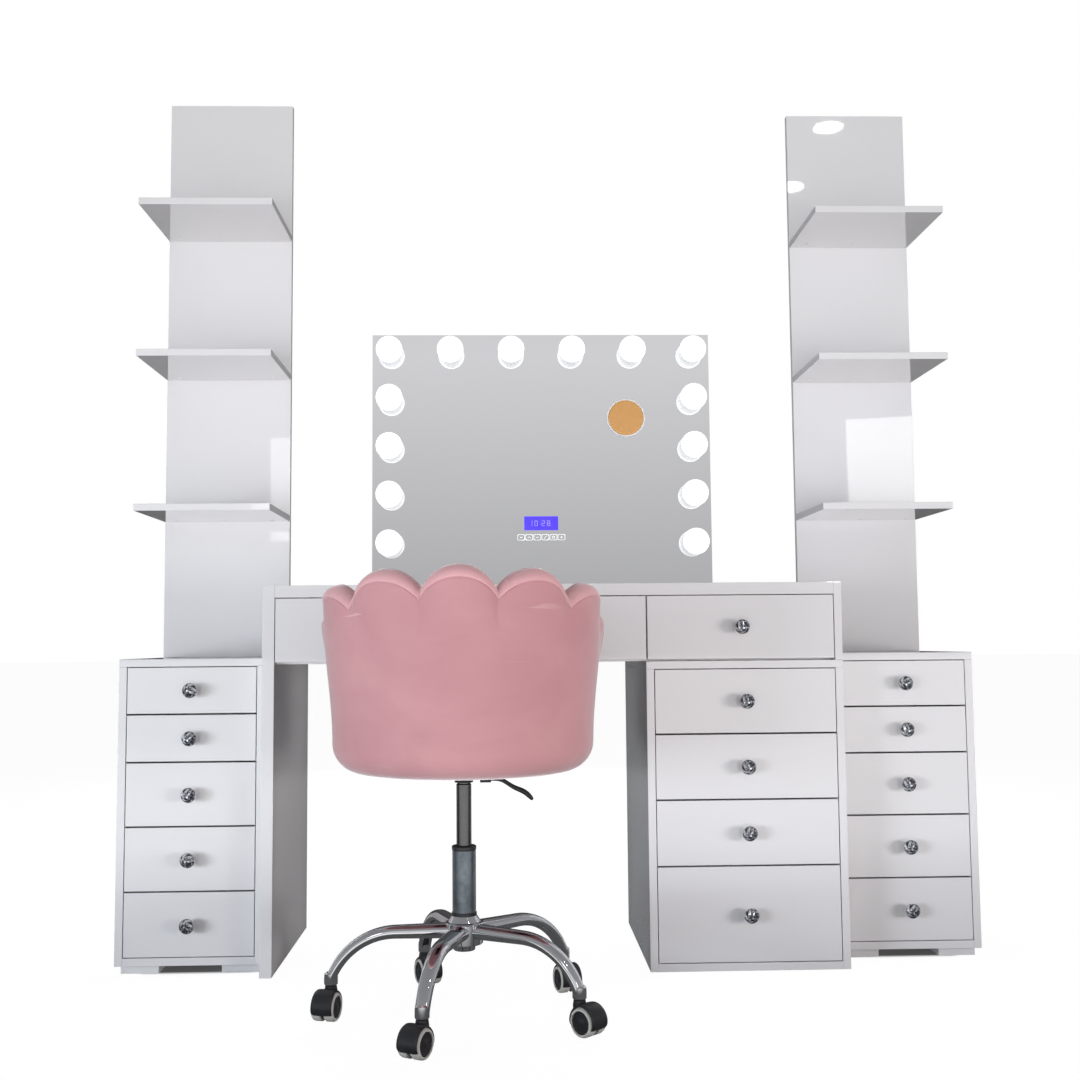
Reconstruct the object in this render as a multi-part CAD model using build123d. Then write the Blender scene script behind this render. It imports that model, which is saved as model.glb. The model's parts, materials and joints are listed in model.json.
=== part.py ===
from build123d import *
import os
from collections import namedtuple
from math import cos, radians, sin

# Salon styling station: a vanity desk standing on a four-drawer pedestal, two five-drawer
# side cabinets that each carry a shelf tower, a bulb mirror and a swivel shell chair.
# Millimetres. +X runs to the user's right, +Y away from the user, +Z up.
# The origin is on the floor, under the middle of the whole set.

# ---- boards ------------------------------------------------------------------------------
BOARD = 16.0            # cabinet boards
FRONT_T = 18.0          # drawer fronts
BACK_T = 8.0            # cabinet back boards
GAP = 1.5               # gap round a drawer front, each side

# ---- desk --------------------------------------------------------------------------------
DESK_W = 1200.0
DESK_D = 460.0
DESK_H = 790.0
DESK_FRONT_Y = 45.4     # the plane of the desk's drawer fronts
DESK_TOP_T = 25.0
LEG_T = 25.0            # thick panel that carries the desk's left end
CASE_FLOOR_SETBACK = 20.0
FRONT_DROP = 4.0        # how far the desk's fronts stop above the case floor's underside

# ---- pedestal under the desk's right end ---------------------------------------------------
PED_W = 410.0
PED_H = 628.0
PED_FRONT_HEIGHTS = (134.0, 134.0, 134.0, 194.0)      # from the top down

# ---- side cabinets and their shelf towers --------------------------------------------------
CAB_W = 300.0
CAB_D = 360.0
CAB_H = 641.0
CAB_FRONT_HEIGHTS = (98.0, 98.0, 131.0, 131.0, 132.0)  # from the top down
CAB_SETBACK_LEFT = 35.0
CAB_SETBACK_RIGHT = 81.0
FOOT_W = 78.0
FOOT_L = 60.0
FOOT_H = 19.0
FOOT_INSET = 8.0
FOOT_SETBACK = 20.0
TOWER_W = 292.0
TOWER_T = 17.0
TOWER_TOP = 1973.0
SHELF_D = 264.0
SHELF_T = 15.0
SHELF_UNDERSIDES = (959.0, 1298.0, 1636.0)

# ---- drawer boxes and runners --------------------------------------------------------------
BOX_T = 12.0            # drawer box sides and back
BOX_BOTTOM_T = 5.0
BOX_LIFT = 12.0         # box bottom above the lower edge of its front
BOX_HEADROOM = 40.0     # front height less box height
BOX_MAX_H = 120.0
RUNNER_GAP = 13.0       # between a carcass board and a drawer box side
RAIL_H = 28.0
RAIL_DEPTH = 10.0
RAIL_WALL = 1.5
SLIDE_H = 22.0
SLIDE_T = 10.0

# ---- crystal knobs -------------------------------------------------------------------------
KNOB_R = 15.0
KNOB_LENGTH = 28.0
KNOB_SIDES = 12
KNOB_NECK_R = 5.0
KNOB_STATIONS = ((9.0, 7.0), (16.0, KNOB_R), (19.0, KNOB_R), (KNOB_LENGTH, 9.0))  # height, radius
FLANGE_R = 8.0
FLANGE_T = 3.0
SCREW_R = 2.0
SCREW_BORE = 12.0       # depth of the screw's hole in the knob
SCREW_CLEARANCE = 0.3   # round the screw in the drawer front
SCREW_END_GAP = 0.5
SCREW_HEAD_R = 4.5
SCREW_HEAD_T = 2.5

# ---- mirror --------------------------------------------------------------------------------
MIRROR_W = 800.0
MIRROR_H = 610.0
MIRROR_X = -11.0
MIRROR_FRONT_Y = DESK_FRONT_Y + 350.0
GLASS_T = 5.0
HOUSING_D = 37.0
HOUSING_INSET = 2.0
HOUSING_WALL = 2.0
BULB_R = 31.0
BULB_INSET = 42.0       # bulb centre from the mirror's edges
BULB_ROW = 6            # bulbs across the top
BULB_DROP = 114.0       # pitch down the two sides
BULB_STAND_OFF = 36.0
NECK_R = 15.0
MAGNIFIER_R = 45.5
MAGNIFIER_T = 8.0
MAGNIFIER_AT = (189.0, 1199.0)      # x, z
MAGNIFIER_RIM = 3.5
MAGNIFIER_BASE = 2.0    # the rim's floor, behind the lens
MAGNIFIER_RECESS = 1.0  # the lens below its rim
NECK_END = 20.0         # how far a bulb's neck runs behind the glass's front face
DRIVER_BOX = (-120.0, 0.0, 1050.0, 1120.0)          # x0, x1, z0, z1
DISPLAY_BOX = (-56.0, 28.0, 931.0, 967.0)
DISPLAY_T = 9.0
KEY_BOX = (-76.0, 48.0, 907.0, 925.0)
KEY_T = 3.0
DRIVER_T = 23.0

# ---- chair ---------------------------------------------------------------------------------
PLATE_HALF = 65.0
PLATE_T = 6.0
PLATE_HUB_R = 17.0
PLATE_HUB_BOTTOM = 414.0
EAR_X = (30.0, 50.0)
EAR_Y = (9.0, 12.0)     # inner and outer face of each of the lever's ears
EAR_DROP = 6.0          # below the lever's pin
CHAIR_X = -179.0
CHAIR_Y = DESK_FRONT_Y - 266.0
ARM_COUNT = 5
ARM_FIRST = 39.0        # direction of the first base arm, degrees from +X
ARM_REACH = 240.0       # column axis to caster stem
ARM_R = 13.0
ARM_Z = 147.0
ARM_STRAIGHT = 125.0    # the arm runs level as far as this, then bends down
ARM_BEND = 70.0         # degrees
HUB_R = 34.0
HUB_BOTTOM = 113.0
HUB_TOP = 175.0
COLUMN_R = 21.5
COLUMN_TOP = 300.0
COLLAR_H = 8.0
PISTON_R = 14.0
PISTON_BOTTOM = 217.0
PISTON_TOP = 434.0
SPIGOT_R = 18.0         # the column's foot, inside the hub
SPIGOT_BOTTOM = 117.0
COLUMN_FLOOR = 123.0
FIT = 0.05              # radial clearance of running fits
SOCKET_BOTTOM = 58.0
SOCKET_TOP = 80.0
SOCKET_R = 12.0
STEM_R = 5.0
CASTER_TRAIL = 20.0
CASTER_HEADINGS = (290.0, 295.0, 255.0, 241.0, 314.0)   # where each caster trails at rest
WHEEL_R = 25.0
WHEEL_T = 18.0
WEB_T = 5.0
HOOD_R = 29.0
HOOD_INNER_R = 26.5
HOOD_W = 42.0
HOOD_TILT = 20.0        # degrees that the hood's open side is turned back
HOOD_BOSS_R = 9.0
HOOD_BOSS_BOTTOM = 43.0
STEM_TOP = 78.5
STEM_BOTTOM = 50.0
WHEEL_CLEARANCE = 0.8   # between a wheel and the middle web
AXLE_R = 3.0
SHELL_BOTTOM = 436.0
SHELL_R = 257.0
WALL_T = 40.0
SEAT_FLOOR = 458.0
BOWL_TOP = 500.0
# scallops of the backrest, from the middle outwards: direction and width in degrees, top, arc radius
PETALS = ((0.0, 29.5, 802.0, 76.0), (31.0, 32.5, 796.0, 88.0),
          (63.75, 33.0, 774.0, 97.0), (96.75, 33.0, 734.0, 97.0))
PETAL_RISE = 33.0
CUSHION_R = 198.0
CUSHION_TOP = 505.0
LEVER_X = 42.0          # the lever's pin, from the column's axis
LEVER_Z = 420.0
LEVER_R = 5.0
LEVER_KNEE = 62.0       # where the lever turns down
LEVER_TIP = (110.0, 393.0)
PIN_R = 2.0
PIN_HALF = 14.0
BARREL_HALF = 8.5
PADDLE = (30.0, 16.0, 12.0)
PADDLE_AT = (113.0, 391.0)
PADDLE_TILT = 33.0

DESK_X0 = -DESK_W / 2
DESK_X1 = DESK_W / 2
PED_X0 = DESK_X1 - PED_W
DIVIDER_X0 = PED_X0 - 6.0
DESK_UNDER_TOP = DESK_H - DESK_TOP_T
DESK_BACK_Y = DESK_FRONT_Y + DESK_D
CASE_FLOOR_TOP = PED_H + BOARD


def board(x0, x1, y0, y1, z0, z1):
    """A rectangular board between two opposite corners."""
    return Pos((x0 + x1) / 2, (y0 + y1) / 2, (z0 + z1) / 2) * Box(x1 - x0, y1 - y0, z1 - z0)


def rod_z(x, y, z0, z1, radius):
    """An upright round rod."""
    return Pos(x, y, (z0 + z1) / 2) * Cylinder(radius, z1 - z0)


def rod_y(x, z, y0, y1, radius):
    """A round rod that lies along Y."""
    return Pos(x, (y0 + y1) / 2, z) * Rot(90, 0, 0) * Cylinder(radius, y1 - y0)


def cabinet_x0(side):
    """Left face of a side cabinet."""
    return DESK_X0 - CAB_W if side == "left" else DESK_X1


def cabinet_front(side):
    """Plane of a side cabinet's fronts."""
    return DESK_FRONT_Y + (CAB_SETBACK_LEFT if side == "left" else CAB_SETBACK_RIGHT)


def tower_x0(side):
    """Left edge of a tower, which is flush with its cabinet's outer face."""
    return cabinet_x0(side) if side == "left" else cabinet_x0(side) + CAB_W - TOWER_W


# ---- carcasses -----------------------------------------------------------------------------
def desk_carcass():
    """Top, leg panel, end panel, case floor, divider and case back."""
    inner0 = DESK_X0 + LEG_T
    inner1 = DESK_X1 - BOARD
    back_y = DESK_BACK_Y - BOARD
    floor_y = DESK_FRONT_Y + CASE_FLOOR_SETBACK
    return [
        board(DESK_X0, inner0, DESK_FRONT_Y, DESK_BACK_Y, 0, DESK_H),
        board(inner1, DESK_X1, DESK_FRONT_Y, DESK_BACK_Y, PED_H, DESK_H),
        board(inner0, inner1, DESK_FRONT_Y, DESK_BACK_Y, DESK_UNDER_TOP, DESK_H),
        board(inner0, inner1, floor_y, DESK_BACK_Y, PED_H, CASE_FLOOR_TOP),
        board(DIVIDER_X0, DIVIDER_X0 + BOARD, floor_y, back_y, CASE_FLOOR_TOP, DESK_UNDER_TOP),
        board(inner0, inner1, back_y, DESK_BACK_Y, CASE_FLOOR_TOP, DESK_UNDER_TOP),
    ]


def pedestal_carcass():
    """Sides, top, bottom and back of the four-drawer pedestal."""
    inner0 = PED_X0 + BOARD
    inner1 = DESK_X1 - BOARD
    front = DESK_FRONT_Y
    under_top = PED_H - BOARD
    return [
        board(PED_X0, DESK_X1, front, DESK_BACK_Y, under_top, PED_H),
        board(PED_X0, inner0, front, DESK_BACK_Y, 0, under_top),
        board(inner1, DESK_X1, front, DESK_BACK_Y, 0, under_top),
        board(inner0, inner1, front, DESK_BACK_Y, 0, BOARD),
        board(inner0, inner1, DESK_BACK_Y - BACK_T, DESK_BACK_Y, BOARD, under_top),
    ]


def side_cabinet_carcass(side):
    """Sides, top, bottom, back and four feet of one side cabinet."""
    x0 = cabinet_x0(side)
    x1 = x0 + CAB_W
    front = cabinet_front(side)
    back = front + CAB_D
    under_top = CAB_H - BOARD
    floor_top = FOOT_H + BOARD
    boards = [
        board(x0, x1, front, back, under_top, CAB_H),
        board(x0, x0 + BOARD, front, back, FOOT_H, under_top),
        board(x1 - BOARD, x1, front, back, FOOT_H, under_top),
        board(x0 + BOARD, x1 - BOARD, front, back, FOOT_H, floor_top),
        board(x0 + BOARD, x1 - BOARD, back - BACK_T, back, floor_top, under_top),
    ]
    for foot_x in (x0 + FOOT_INSET, x1 - FOOT_INSET - FOOT_W):
        for foot_y in (front + FOOT_SETBACK, back - FOOT_SETBACK - FOOT_L):
            boards.append(board(foot_x, foot_x + FOOT_W, foot_y, foot_y + FOOT_L, 0, FOOT_H))
    return boards


def tower_panel(side):
    """Upright back panel that stands on the rear of a side cabinet."""
    x0 = tower_x0(side)
    back = cabinet_front(side) + CAB_D
    return board(x0, x0 + TOWER_W, back - TOWER_T, back, CAB_H, TOWER_TOP)


def tower_shelves(side):
    """Three shelves that stand forward of a tower panel."""
    x0 = tower_x0(side)
    panel_front = cabinet_front(side) + CAB_D - TOWER_T
    return [board(x0, x0 + TOWER_W, panel_front - SHELF_D, panel_front, z, z + SHELF_T)
            for z in SHELF_UNDERSIDES]


# ---- drawers -------------------------------------------------------------------------------
# x0..x1 and z0..z1 bound the front; in0..in1 is the clear width inside the carcass; y is the
# plane of the front's face; depth is the length of the box behind the front; knobs holds one
# x for each knob.
Drawer = namedtuple("Drawer", "name x0 x1 z0 z1 in0 in1 y depth knobs")


def stacked_drawers(prefix, in0, in1, top, heights, y, depth):
    """Drawers one under another in one carcass, numbered from the top."""
    drawers = []
    for number, height in enumerate(heights, start=1):
        bottom = top - height
        drawers.append(Drawer(f"{prefix}_{number}", in0 + GAP, in1 - GAP, bottom + GAP, top - GAP,
                              in0, in1, y, depth, [(in0 + in1) / 2]))
        top = bottom
    return drawers


def desk_drawers():
    """The wide drawer over the knee space and the small one over the pedestal."""
    z0 = PED_H + FRONT_DROP
    z1 = DESK_UNDER_TOP - GAP
    seam = DIVIDER_X0 + BOARD / 2
    left = DESK_X0 + LEG_T
    right = DESK_X1 - BOARD
    wide0 = left + GAP
    wide1 = seam - GAP
    quarter = (wide1 - wide0) / 4
    wide = Drawer("desk_drawer_wide", wide0, wide1, z0, z1, left, DIVIDER_X0,
                  DESK_FRONT_Y, 400.0, [wide0 + quarter, wide1 - quarter])
    small = Drawer("desk_drawer_small", seam + GAP, right - GAP, z0, z1, DIVIDER_X0 + BOARD, right,
                   DESK_FRONT_Y, 400.0, [(seam + right) / 2])
    return [wide, small]


def all_drawers():
    drawers = desk_drawers()
    drawers += stacked_drawers("pedestal_drawer", PED_X0 + BOARD, DESK_X1 - BOARD, PED_H - BOARD,
                               PED_FRONT_HEIGHTS, DESK_FRONT_Y, 400.0)
    for side in ("left", "right"):
        x0 = cabinet_x0(side)
        drawers += stacked_drawers(f"{side}_drawer", x0 + BOARD, x0 + CAB_W - BOARD, CAB_H - BOARD,
                                   CAB_FRONT_HEIGHTS, cabinet_front(side), 310.0)
    return drawers


def box_heights(drawer):
    """Lower and upper edge of a drawer box's sides."""
    low = drawer.z0 + BOX_LIFT
    return low, low + min(drawer.z1 - drawer.z0 - BOX_HEADROOM, BOX_MAX_H)


def knob_z(drawer):
    return (drawer.z0 + drawer.z1) / 2


def drawer_parts(drawer):
    """Front, two sides, back, bottom and the two runner slides of one drawer."""
    low, high = box_heights(drawer)
    face_back = drawer.y + FRONT_T
    end = face_back + drawer.depth
    left = drawer.in0 + RUNNER_GAP
    right = drawer.in1 - RUNNER_GAP
    slide0 = (low + high - SLIDE_H) / 2
    front = board(drawer.x0, drawer.x1, drawer.y, face_back, drawer.z0, drawer.z1)
    for x in drawer.knobs:
        front -= rod_y(x, knob_z(drawer), drawer.y, face_back, SCREW_R + SCREW_CLEARANCE)
    floor_top = low + BOX_BOTTOM_T
    return [
        front,
        board(left, left + BOX_T, face_back, end, low, high),
        board(right - BOX_T, right, face_back, end, low, high),
        board(left + BOX_T, right - BOX_T, end - BOX_T, end, low, high),
        board(left + BOX_T, right - BOX_T, face_back, end - BOX_T, low, floor_top),
        board(left - SLIDE_T, left, face_back + 2, end, slide0, slide0 + SLIDE_H),
        board(right, right + SLIDE_T, face_back + 2, end, slide0, slide0 + SLIDE_H),
    ]


def rail(wall_x, direction, y0, y1, z_mid):
    """C-shaped runner rail on a carcass board; direction is +1 or -1, into the carcass."""
    low = z_mid - RAIL_H / 2
    high = z_mid + RAIL_H / 2
    near, far = sorted((wall_x, wall_x + direction * RAIL_DEPTH))
    solid = board(near, far, y0, y1, low, high)
    near, far = sorted((wall_x + direction * RAIL_WALL, wall_x + direction * (RAIL_DEPTH + 1)))
    return solid - board(near, far, y0 - 1, y1 + 1, low + RAIL_WALL, high - RAIL_WALL)


def drawer_rails(drawer):
    """The two rails that carry one drawer."""
    low, high = box_heights(drawer)
    y0 = drawer.y + FRONT_T + 4
    y1 = drawer.y + FRONT_T + drawer.depth
    return [rail(drawer.in0, 1, y0, y1, (low + high) / 2),
            rail(drawer.in1, -1, y0, y1, (low + high) / 2)]


def knob_parts(drawer):
    """Each knob of a drawer, on its chrome flange, and the screw that holds it."""
    parts = []
    for x in drawer.knobs:
        place = Location((x, drawer.y, knob_z(drawer)), (90, 0, 0))
        rings = [Plane.XY.offset(z) * RegularPolygon(r, KNOB_SIDES) for z, r in KNOB_STATIONS]
        head = loft(rings, ruled=True)
        flange = rod_z(0, 0, 0, FLANGE_T, FLANGE_R)
        stem = rod_z(0, 0, FLANGE_T, KNOB_STATIONS[0][0], KNOB_NECK_R)
        screw_bore = rod_z(0, 0, 0, SCREW_BORE, SCREW_R + FIT)
        parts.append(place * (flange + stem + head - screw_bore))
        shank = rod_z(0, 0, -FRONT_T, SCREW_BORE - SCREW_END_GAP, SCREW_R)
        screw_head = rod_z(0, 0, -FRONT_T - SCREW_HEAD_T, -FRONT_T, SCREW_HEAD_R)
        parts.append(place * (shank + screw_head))
    return parts


# ---- mirror --------------------------------------------------------------------------------
def bulb_places():
    """x and z of each bulb: a row across the top and a column down each side."""
    left = MIRROR_X - MIRROR_W / 2 + BULB_INSET
    right = MIRROR_X + MIRROR_W / 2 - BULB_INSET
    top = DESK_H + MIRROR_H - BULB_INSET
    places = [(left + (right - left) * i / (BULB_ROW - 1), top) for i in range(BULB_ROW)]
    for row in range(1, 5):
        places += [(left, top - row * BULB_DROP), (right, top - row * BULB_DROP)]
    return places


def mirror_glass():
    """Glass sheet with a hole for each bulb's neck."""
    x0 = MIRROR_X - MIRROR_W / 2
    y0 = MIRROR_FRONT_Y
    glass = board(x0, x0 + MIRROR_W, y0, y0 + GLASS_T, DESK_H, DESK_H + MIRROR_H)
    for x, z in bulb_places():
        glass -= rod_y(x, z, y0 - 1, y0 + GLASS_T + 1, NECK_R + 1)
    return glass


def mirror_housing():
    """Shallow tray behind the glass."""
    x0 = MIRROR_X - MIRROR_W / 2 + HOUSING_INSET
    x1 = MIRROR_X + MIRROR_W / 2 - HOUSING_INSET
    y0 = MIRROR_FRONT_Y + GLASS_T
    y1 = y0 + HOUSING_D
    z1 = DESK_H + MIRROR_H - HOUSING_INSET
    wall = HOUSING_WALL
    tray = board(x0, x1, y0, y1, DESK_H, z1)
    return tray - board(x0 + wall, x1 - wall, y0 - 1, y1 - wall, DESK_H + wall, z1 - wall)


def mirror_bulbs():
    """Globe bulbs: each has a round globe, and a neck that passes through the glass."""
    centre_y = MIRROR_FRONT_Y - BULB_STAND_OFF
    neck_y = centre_y + (BULB_R ** 2 - NECK_R ** 2) ** 0.5
    parts = []
    for x, z in bulb_places():
        behind = board(x - BULB_R, x + BULB_R, neck_y, neck_y + BULB_R, z - BULB_R, z + BULB_R)
        parts.append(Pos(x, centre_y, z) * Sphere(BULB_R) - behind)
        parts.append(rod_y(x, z, neck_y, MIRROR_FRONT_Y + NECK_END, NECK_R))
    return parts


def mirror_electronics():
    """Lamp driver, clock display and touch-key board, all behind the glass."""
    glass_back = MIRROR_FRONT_Y + GLASS_T
    housing_floor = glass_back + HOUSING_D - HOUSING_WALL
    parts = []
    for (x0, x1, z0, z1), y0, y1 in (
            (DRIVER_BOX, housing_floor - DRIVER_T, housing_floor),
            (DISPLAY_BOX, glass_back, glass_back + DISPLAY_T),
            (KEY_BOX, glass_back, glass_back + KEY_T)):
        parts.append(board(x0, x1, y0, y1, z0, z1))
    return parts


def magnifier():
    """Round magnifying mirror stuck to the glass: a rim and its lens."""
    x, z = MAGNIFIER_AT
    back = MIRROR_FRONT_Y
    front = back - MAGNIFIER_T
    lens_r = MAGNIFIER_R - MAGNIFIER_RIM
    seat = back - MAGNIFIER_BASE
    rim = rod_y(x, z, front, back, MAGNIFIER_R) - rod_y(x, z, front, seat, lens_r)
    return [rim, rod_y(x, z, front + MAGNIFIER_RECESS, seat, lens_r)]


# ---- chair base ----------------------------------------------------------------------------
def arm_angles():
    return [ARM_FIRST + 360.0 / ARM_COUNT * i for i in range(ARM_COUNT)]


def stem_places():
    """x and y of each caster stem."""
    return [(CHAIR_X + ARM_REACH * cos(radians(a)), CHAIR_Y + ARM_REACH * sin(radians(a)))
            for a in arm_angles()]


def base_arm():
    """One arm along +X: level from the hub, then bent down to its caster socket."""
    bend_r = (ARM_REACH - ARM_STRAIGHT) / sin(radians(ARM_BEND))
    level = Line((HUB_R - 10, ARM_Z), (ARM_STRAIGHT, ARM_Z))
    bend = JernArc((ARM_STRAIGHT, ARM_Z), (1, 0), bend_r, -ARM_BEND)
    path = Plane.XZ * (level + bend)
    tube = sweep(Pos(HUB_R - 10, 0, ARM_Z) * Rot(0, 90, 0) * Circle(ARM_R), path=path)
    return tube + rod_z(ARM_REACH, 0, SOCKET_BOTTOM, SOCKET_TOP, SOCKET_R)


def star_base():
    """Hub with five arms, bored for the gas column and the caster stems."""
    arm = base_arm()
    base = rod_z(0, 0, HUB_BOTTOM, HUB_TOP, HUB_R)
    for angle in arm_angles():
        base += Rot(0, 0, angle) * arm
    base -= board(-SHELL_R, SHELL_R, -SHELL_R, SHELL_R, 0, SOCKET_BOTTOM)
    base -= rod_z(0, 0, HUB_BOTTOM - 1, HUB_TOP + 1, SPIGOT_R + FIT)
    base = Pos(CHAIR_X, CHAIR_Y, 0) * base
    for x, y in stem_places():
        base -= rod_z(x, y, 0, SOCKET_TOP - 1, STEM_R + FIT)
    return base


def gas_column():
    """Outer tube of the gas spring: it stands on the hub, with a spigot down inside it."""
    tube = rod_z(0, 0, HUB_TOP, COLUMN_TOP - COLLAR_H, COLUMN_R)
    tube += rod_z(0, 0, SPIGOT_BOTTOM, HUB_TOP, SPIGOT_R)
    tube += rod_z(0, 0, COLUMN_TOP - COLLAR_H, COLUMN_TOP, COLUMN_R + 1)
    tube -= rod_z(0, 0, COLUMN_FLOOR, COLUMN_TOP + 1, PISTON_R + FIT)
    return Pos(CHAIR_X, CHAIR_Y, 0) * tube


def gas_piston():
    return rod_z(CHAIR_X, CHAIR_Y, PISTON_BOTTOM, PISTON_TOP, PISTON_R)


def caster_hood(x, y, heading):
    """Stem, boss, middle web and arched cover of one caster."""
    reach = 2 * HOOD_R
    hub = Pos(CASTER_TRAIL, 0, WHEEL_R)
    cover = rod_y(0, 0, -HOOD_W / 2, HOOD_W / 2, HOOD_R)
    cover -= rod_y(0, 0, -HOOD_W, HOOD_W, HOOD_INNER_R)
    cover -= Rot(0, HOOD_TILT, 0) * board(-reach, reach, -reach, reach, -reach, 0)
    web = rod_y(0, 0, -WEB_T / 2, WEB_T / 2, HOOD_INNER_R + 1)
    web -= board(-reach, reach, -reach, reach, -reach, -10)
    body = hub * (cover + web)
    body += rod_z(0, 0, HOOD_BOSS_BOTTOM, SOCKET_BOTTOM - WHEEL_CLEARANCE, HOOD_BOSS_R)
    body += rod_z(0, 0, STEM_BOTTOM, STEM_TOP, STEM_R)
    body -= hub * rod_y(0, 0, -HOOD_W, HOOD_W, AXLE_R + FIT)
    for side in (1, -1):
        near, far = sorted((side * WEB_T / 2, side * HOOD_W))
        body -= hub * rod_y(0, 0, near, far, HOOD_INNER_R - 0.5)
    return Location((x, y, 0), (0, 0, heading)) * body


def caster_wheels(x, y, heading):
    """Twin wheels and the axle between them."""
    near = WEB_T / 2 + WHEEL_CLEARANCE
    place = Location((x, y, 0), (0, 0, heading)) * Pos(CASTER_TRAIL, 0, WHEEL_R)
    solids = [rod_y(0, 0, -near, near, AXLE_R),
              rod_y(0, 0, near, near + WHEEL_T, WHEEL_R),
              rod_y(0, 0, -near - WHEEL_T, -near, WHEEL_R)]
    return [place * solid for solid in solids]


# ---- chair seat ----------------------------------------------------------------------------
def seat_plate():
    """Plate under the seat with the piston's socket and the lever's two ears."""
    under = SHELL_BOTTOM - PLATE_T
    plate = board(-PLATE_HALF, PLATE_HALF, -PLATE_HALF, PLATE_HALF, under, SHELL_BOTTOM)
    plate += rod_z(0, 0, PLATE_HUB_BOTTOM, under, PLATE_HUB_R)
    inner, outer = EAR_Y
    for y0, y1 in ((inner, outer), (-outer, -inner)):
        plate += board(*EAR_X, y0, y1, LEVER_Z - EAR_DROP, under)
    plate -= rod_z(0, 0, PLATE_HUB_BOTTOM - 1, PISTON_TOP + 0.5, PISTON_R + FIT)
    plate -= rod_y(LEVER_X, LEVER_Z, -outer - 1, outer + 1, PIN_R + FIT)
    return Pos(CHAIR_X, CHAIR_Y, 0) * plate


def lever():
    """Height lever: a barrel on a pin, a rod that runs out and down, and a flat paddle."""
    barrel = rod_y(LEVER_X, LEVER_Z, -BARREL_HALF, BARREL_HALF, LEVER_R)
    barrel += rod_y(LEVER_X, LEVER_Z, -PIN_HALF, PIN_HALF, PIN_R)
    path = Plane.XZ * FilletPolyline((LEVER_X, LEVER_Z), (LEVER_KNEE, LEVER_Z), LEVER_TIP, radius=25)
    rod = sweep(Pos(LEVER_X, 0, LEVER_Z) * Rot(0, 90, 0) * Circle(LEVER_R), path=path)
    paddle = Pos(PADDLE_AT[0], 0, PADDLE_AT[1]) * Rot(0, PADDLE_TILT, 0) * Box(*PADDLE)
    return Pos(CHAIR_X, CHAIR_Y, 0) * (barrel + rod + paddle)


def wall_section():
    """Section of the seat shell through one side, from the middle out to the wall."""
    inner = SHELL_R - WALL_T
    outline = Line((0, SEAT_FLOOR), (0, SHELL_BOTTOM))
    outline += Line((0, SHELL_BOTTOM), (185, SHELL_BOTTOM))
    outline += TangentArc((185, SHELL_BOTTOM), (239, 490), tangent=(1, 0))
    outline += Polyline((239, 490), (248, 600), (SHELL_R, 720), (SHELL_R, 810))
    outline += Polyline((SHELL_R, 810), (inner, 810), (inner, 720), (200.5, BOWL_TOP))
    outline += Polyline((200.5, BOWL_TOP), (200.5, SEAT_FLOOR), (0, SEAT_FLOOR))
    return Plane.XZ * make_face(outline)


def petal(section, direction, width, peak, arc_r):
    """One scallop of the backrest; direction counts from the middle of the back."""
    angle = direction - 90
    sector = Rot(0, 0, angle - width / 2) * revolve(section, axis=Axis.Z, revolution_arc=width)
    outline = Pos(150, 0, peak - arc_r) * Rot(0, 90, 0) * Cylinder(arc_r, 300)
    outline += board(0, 300, -120, 120, 400, peak - PETAL_RISE)
    return sector & (Rot(0, 0, angle) * outline)


def seat_shell():
    """Round bowl with a scalloped back whose arms slope down to the seat's front edge."""
    section = wall_section()
    shell = revolve(section, axis=Axis.Z) & board(-300, 300, -300, 300, 400, BOWL_TOP)
    for direction, width, peak, arc_r in PETALS:
        shell += petal(section, direction, width, peak, arc_r)
        if direction > 0:
            shell += petal(section, -direction, width, peak, arc_r)
    arm_slope = Polyline((-40, 787), (131.5, BOWL_TOP), (300, BOWL_TOP), (300, 850), (-40, 850),
                         close=True)
    front_cut = extrude(Plane.YZ * make_face(arm_slope), 400, both=True)
    return Pos(CHAIR_X, CHAIR_Y, 0) * (shell - front_cut)


def seat_cushion():
    """Round seat cushion in the bowl."""
    pad = rod_z(0, 0, SEAT_FLOOR, CUSHION_TOP, CUSHION_R)
    pad = fillet(pad.edges().group_by(Axis.Z)[-1], 18.0)
    return Pos(CHAIR_X, CHAIR_Y, 0) * pad


# ---- all nodes -----------------------------------------------------------------------------
def build():
    """Every node's name with its solid, or its list of separate solids."""
    drawers = all_drawers()
    nodes = {
        "desk_carcass": desk_carcass(),
        "pedestal_carcass": pedestal_carcass(),
        "side_cabinet_carcasses": side_cabinet_carcass("left") + side_cabinet_carcass("right"),
        "drawer_rails": [part for drawer in drawers for part in drawer_rails(drawer)],
        "tower_panels": [tower_panel("left"), tower_panel("right")],
        "tower_shelves": tower_shelves("left") + tower_shelves("right"),
        "mirror_housing": mirror_housing(),
        "mirror_glass": mirror_glass(),
        "mirror_bulbs": mirror_bulbs(),
        "mirror_electronics": mirror_electronics(),
        "magnifier": magnifier(),
        "star_base": star_base(),
        "gas_column": gas_column(),
        "gas_piston": gas_piston(),
        "seat_plate": seat_plate(),
        "lever": lever(),
        "seat_shell": seat_shell(),
        "seat_cushion": seat_cushion(),
    }
    for drawer in drawers:
        nodes[drawer.name] = drawer_parts(drawer)
        nodes[f"{drawer.name}_knob"] = knob_parts(drawer)
    for number, ((x, y), heading) in enumerate(zip(stem_places(), CASTER_HEADINGS), start=1):
        nodes[f"caster_{number}_hood"] = caster_hood(x, y, heading)
        nodes[f"caster_{number}_wheels"] = caster_wheels(x, y, heading)
    return nodes


os.makedirs("parts", exist_ok=True)
for node_name, shape in build().items():
    if isinstance(shape, list):
        shape = Compound(children=shape) if len(shape) > 1 else shape[0]
    export_step(shape, f"parts/{node_name}.step")
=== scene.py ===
import bmesh
import bpy
import json
import math
import random
from math import atan2, cos, pi, radians, sin, sqrt

import numpy as np
from mathutils import Matrix, Vector


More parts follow.
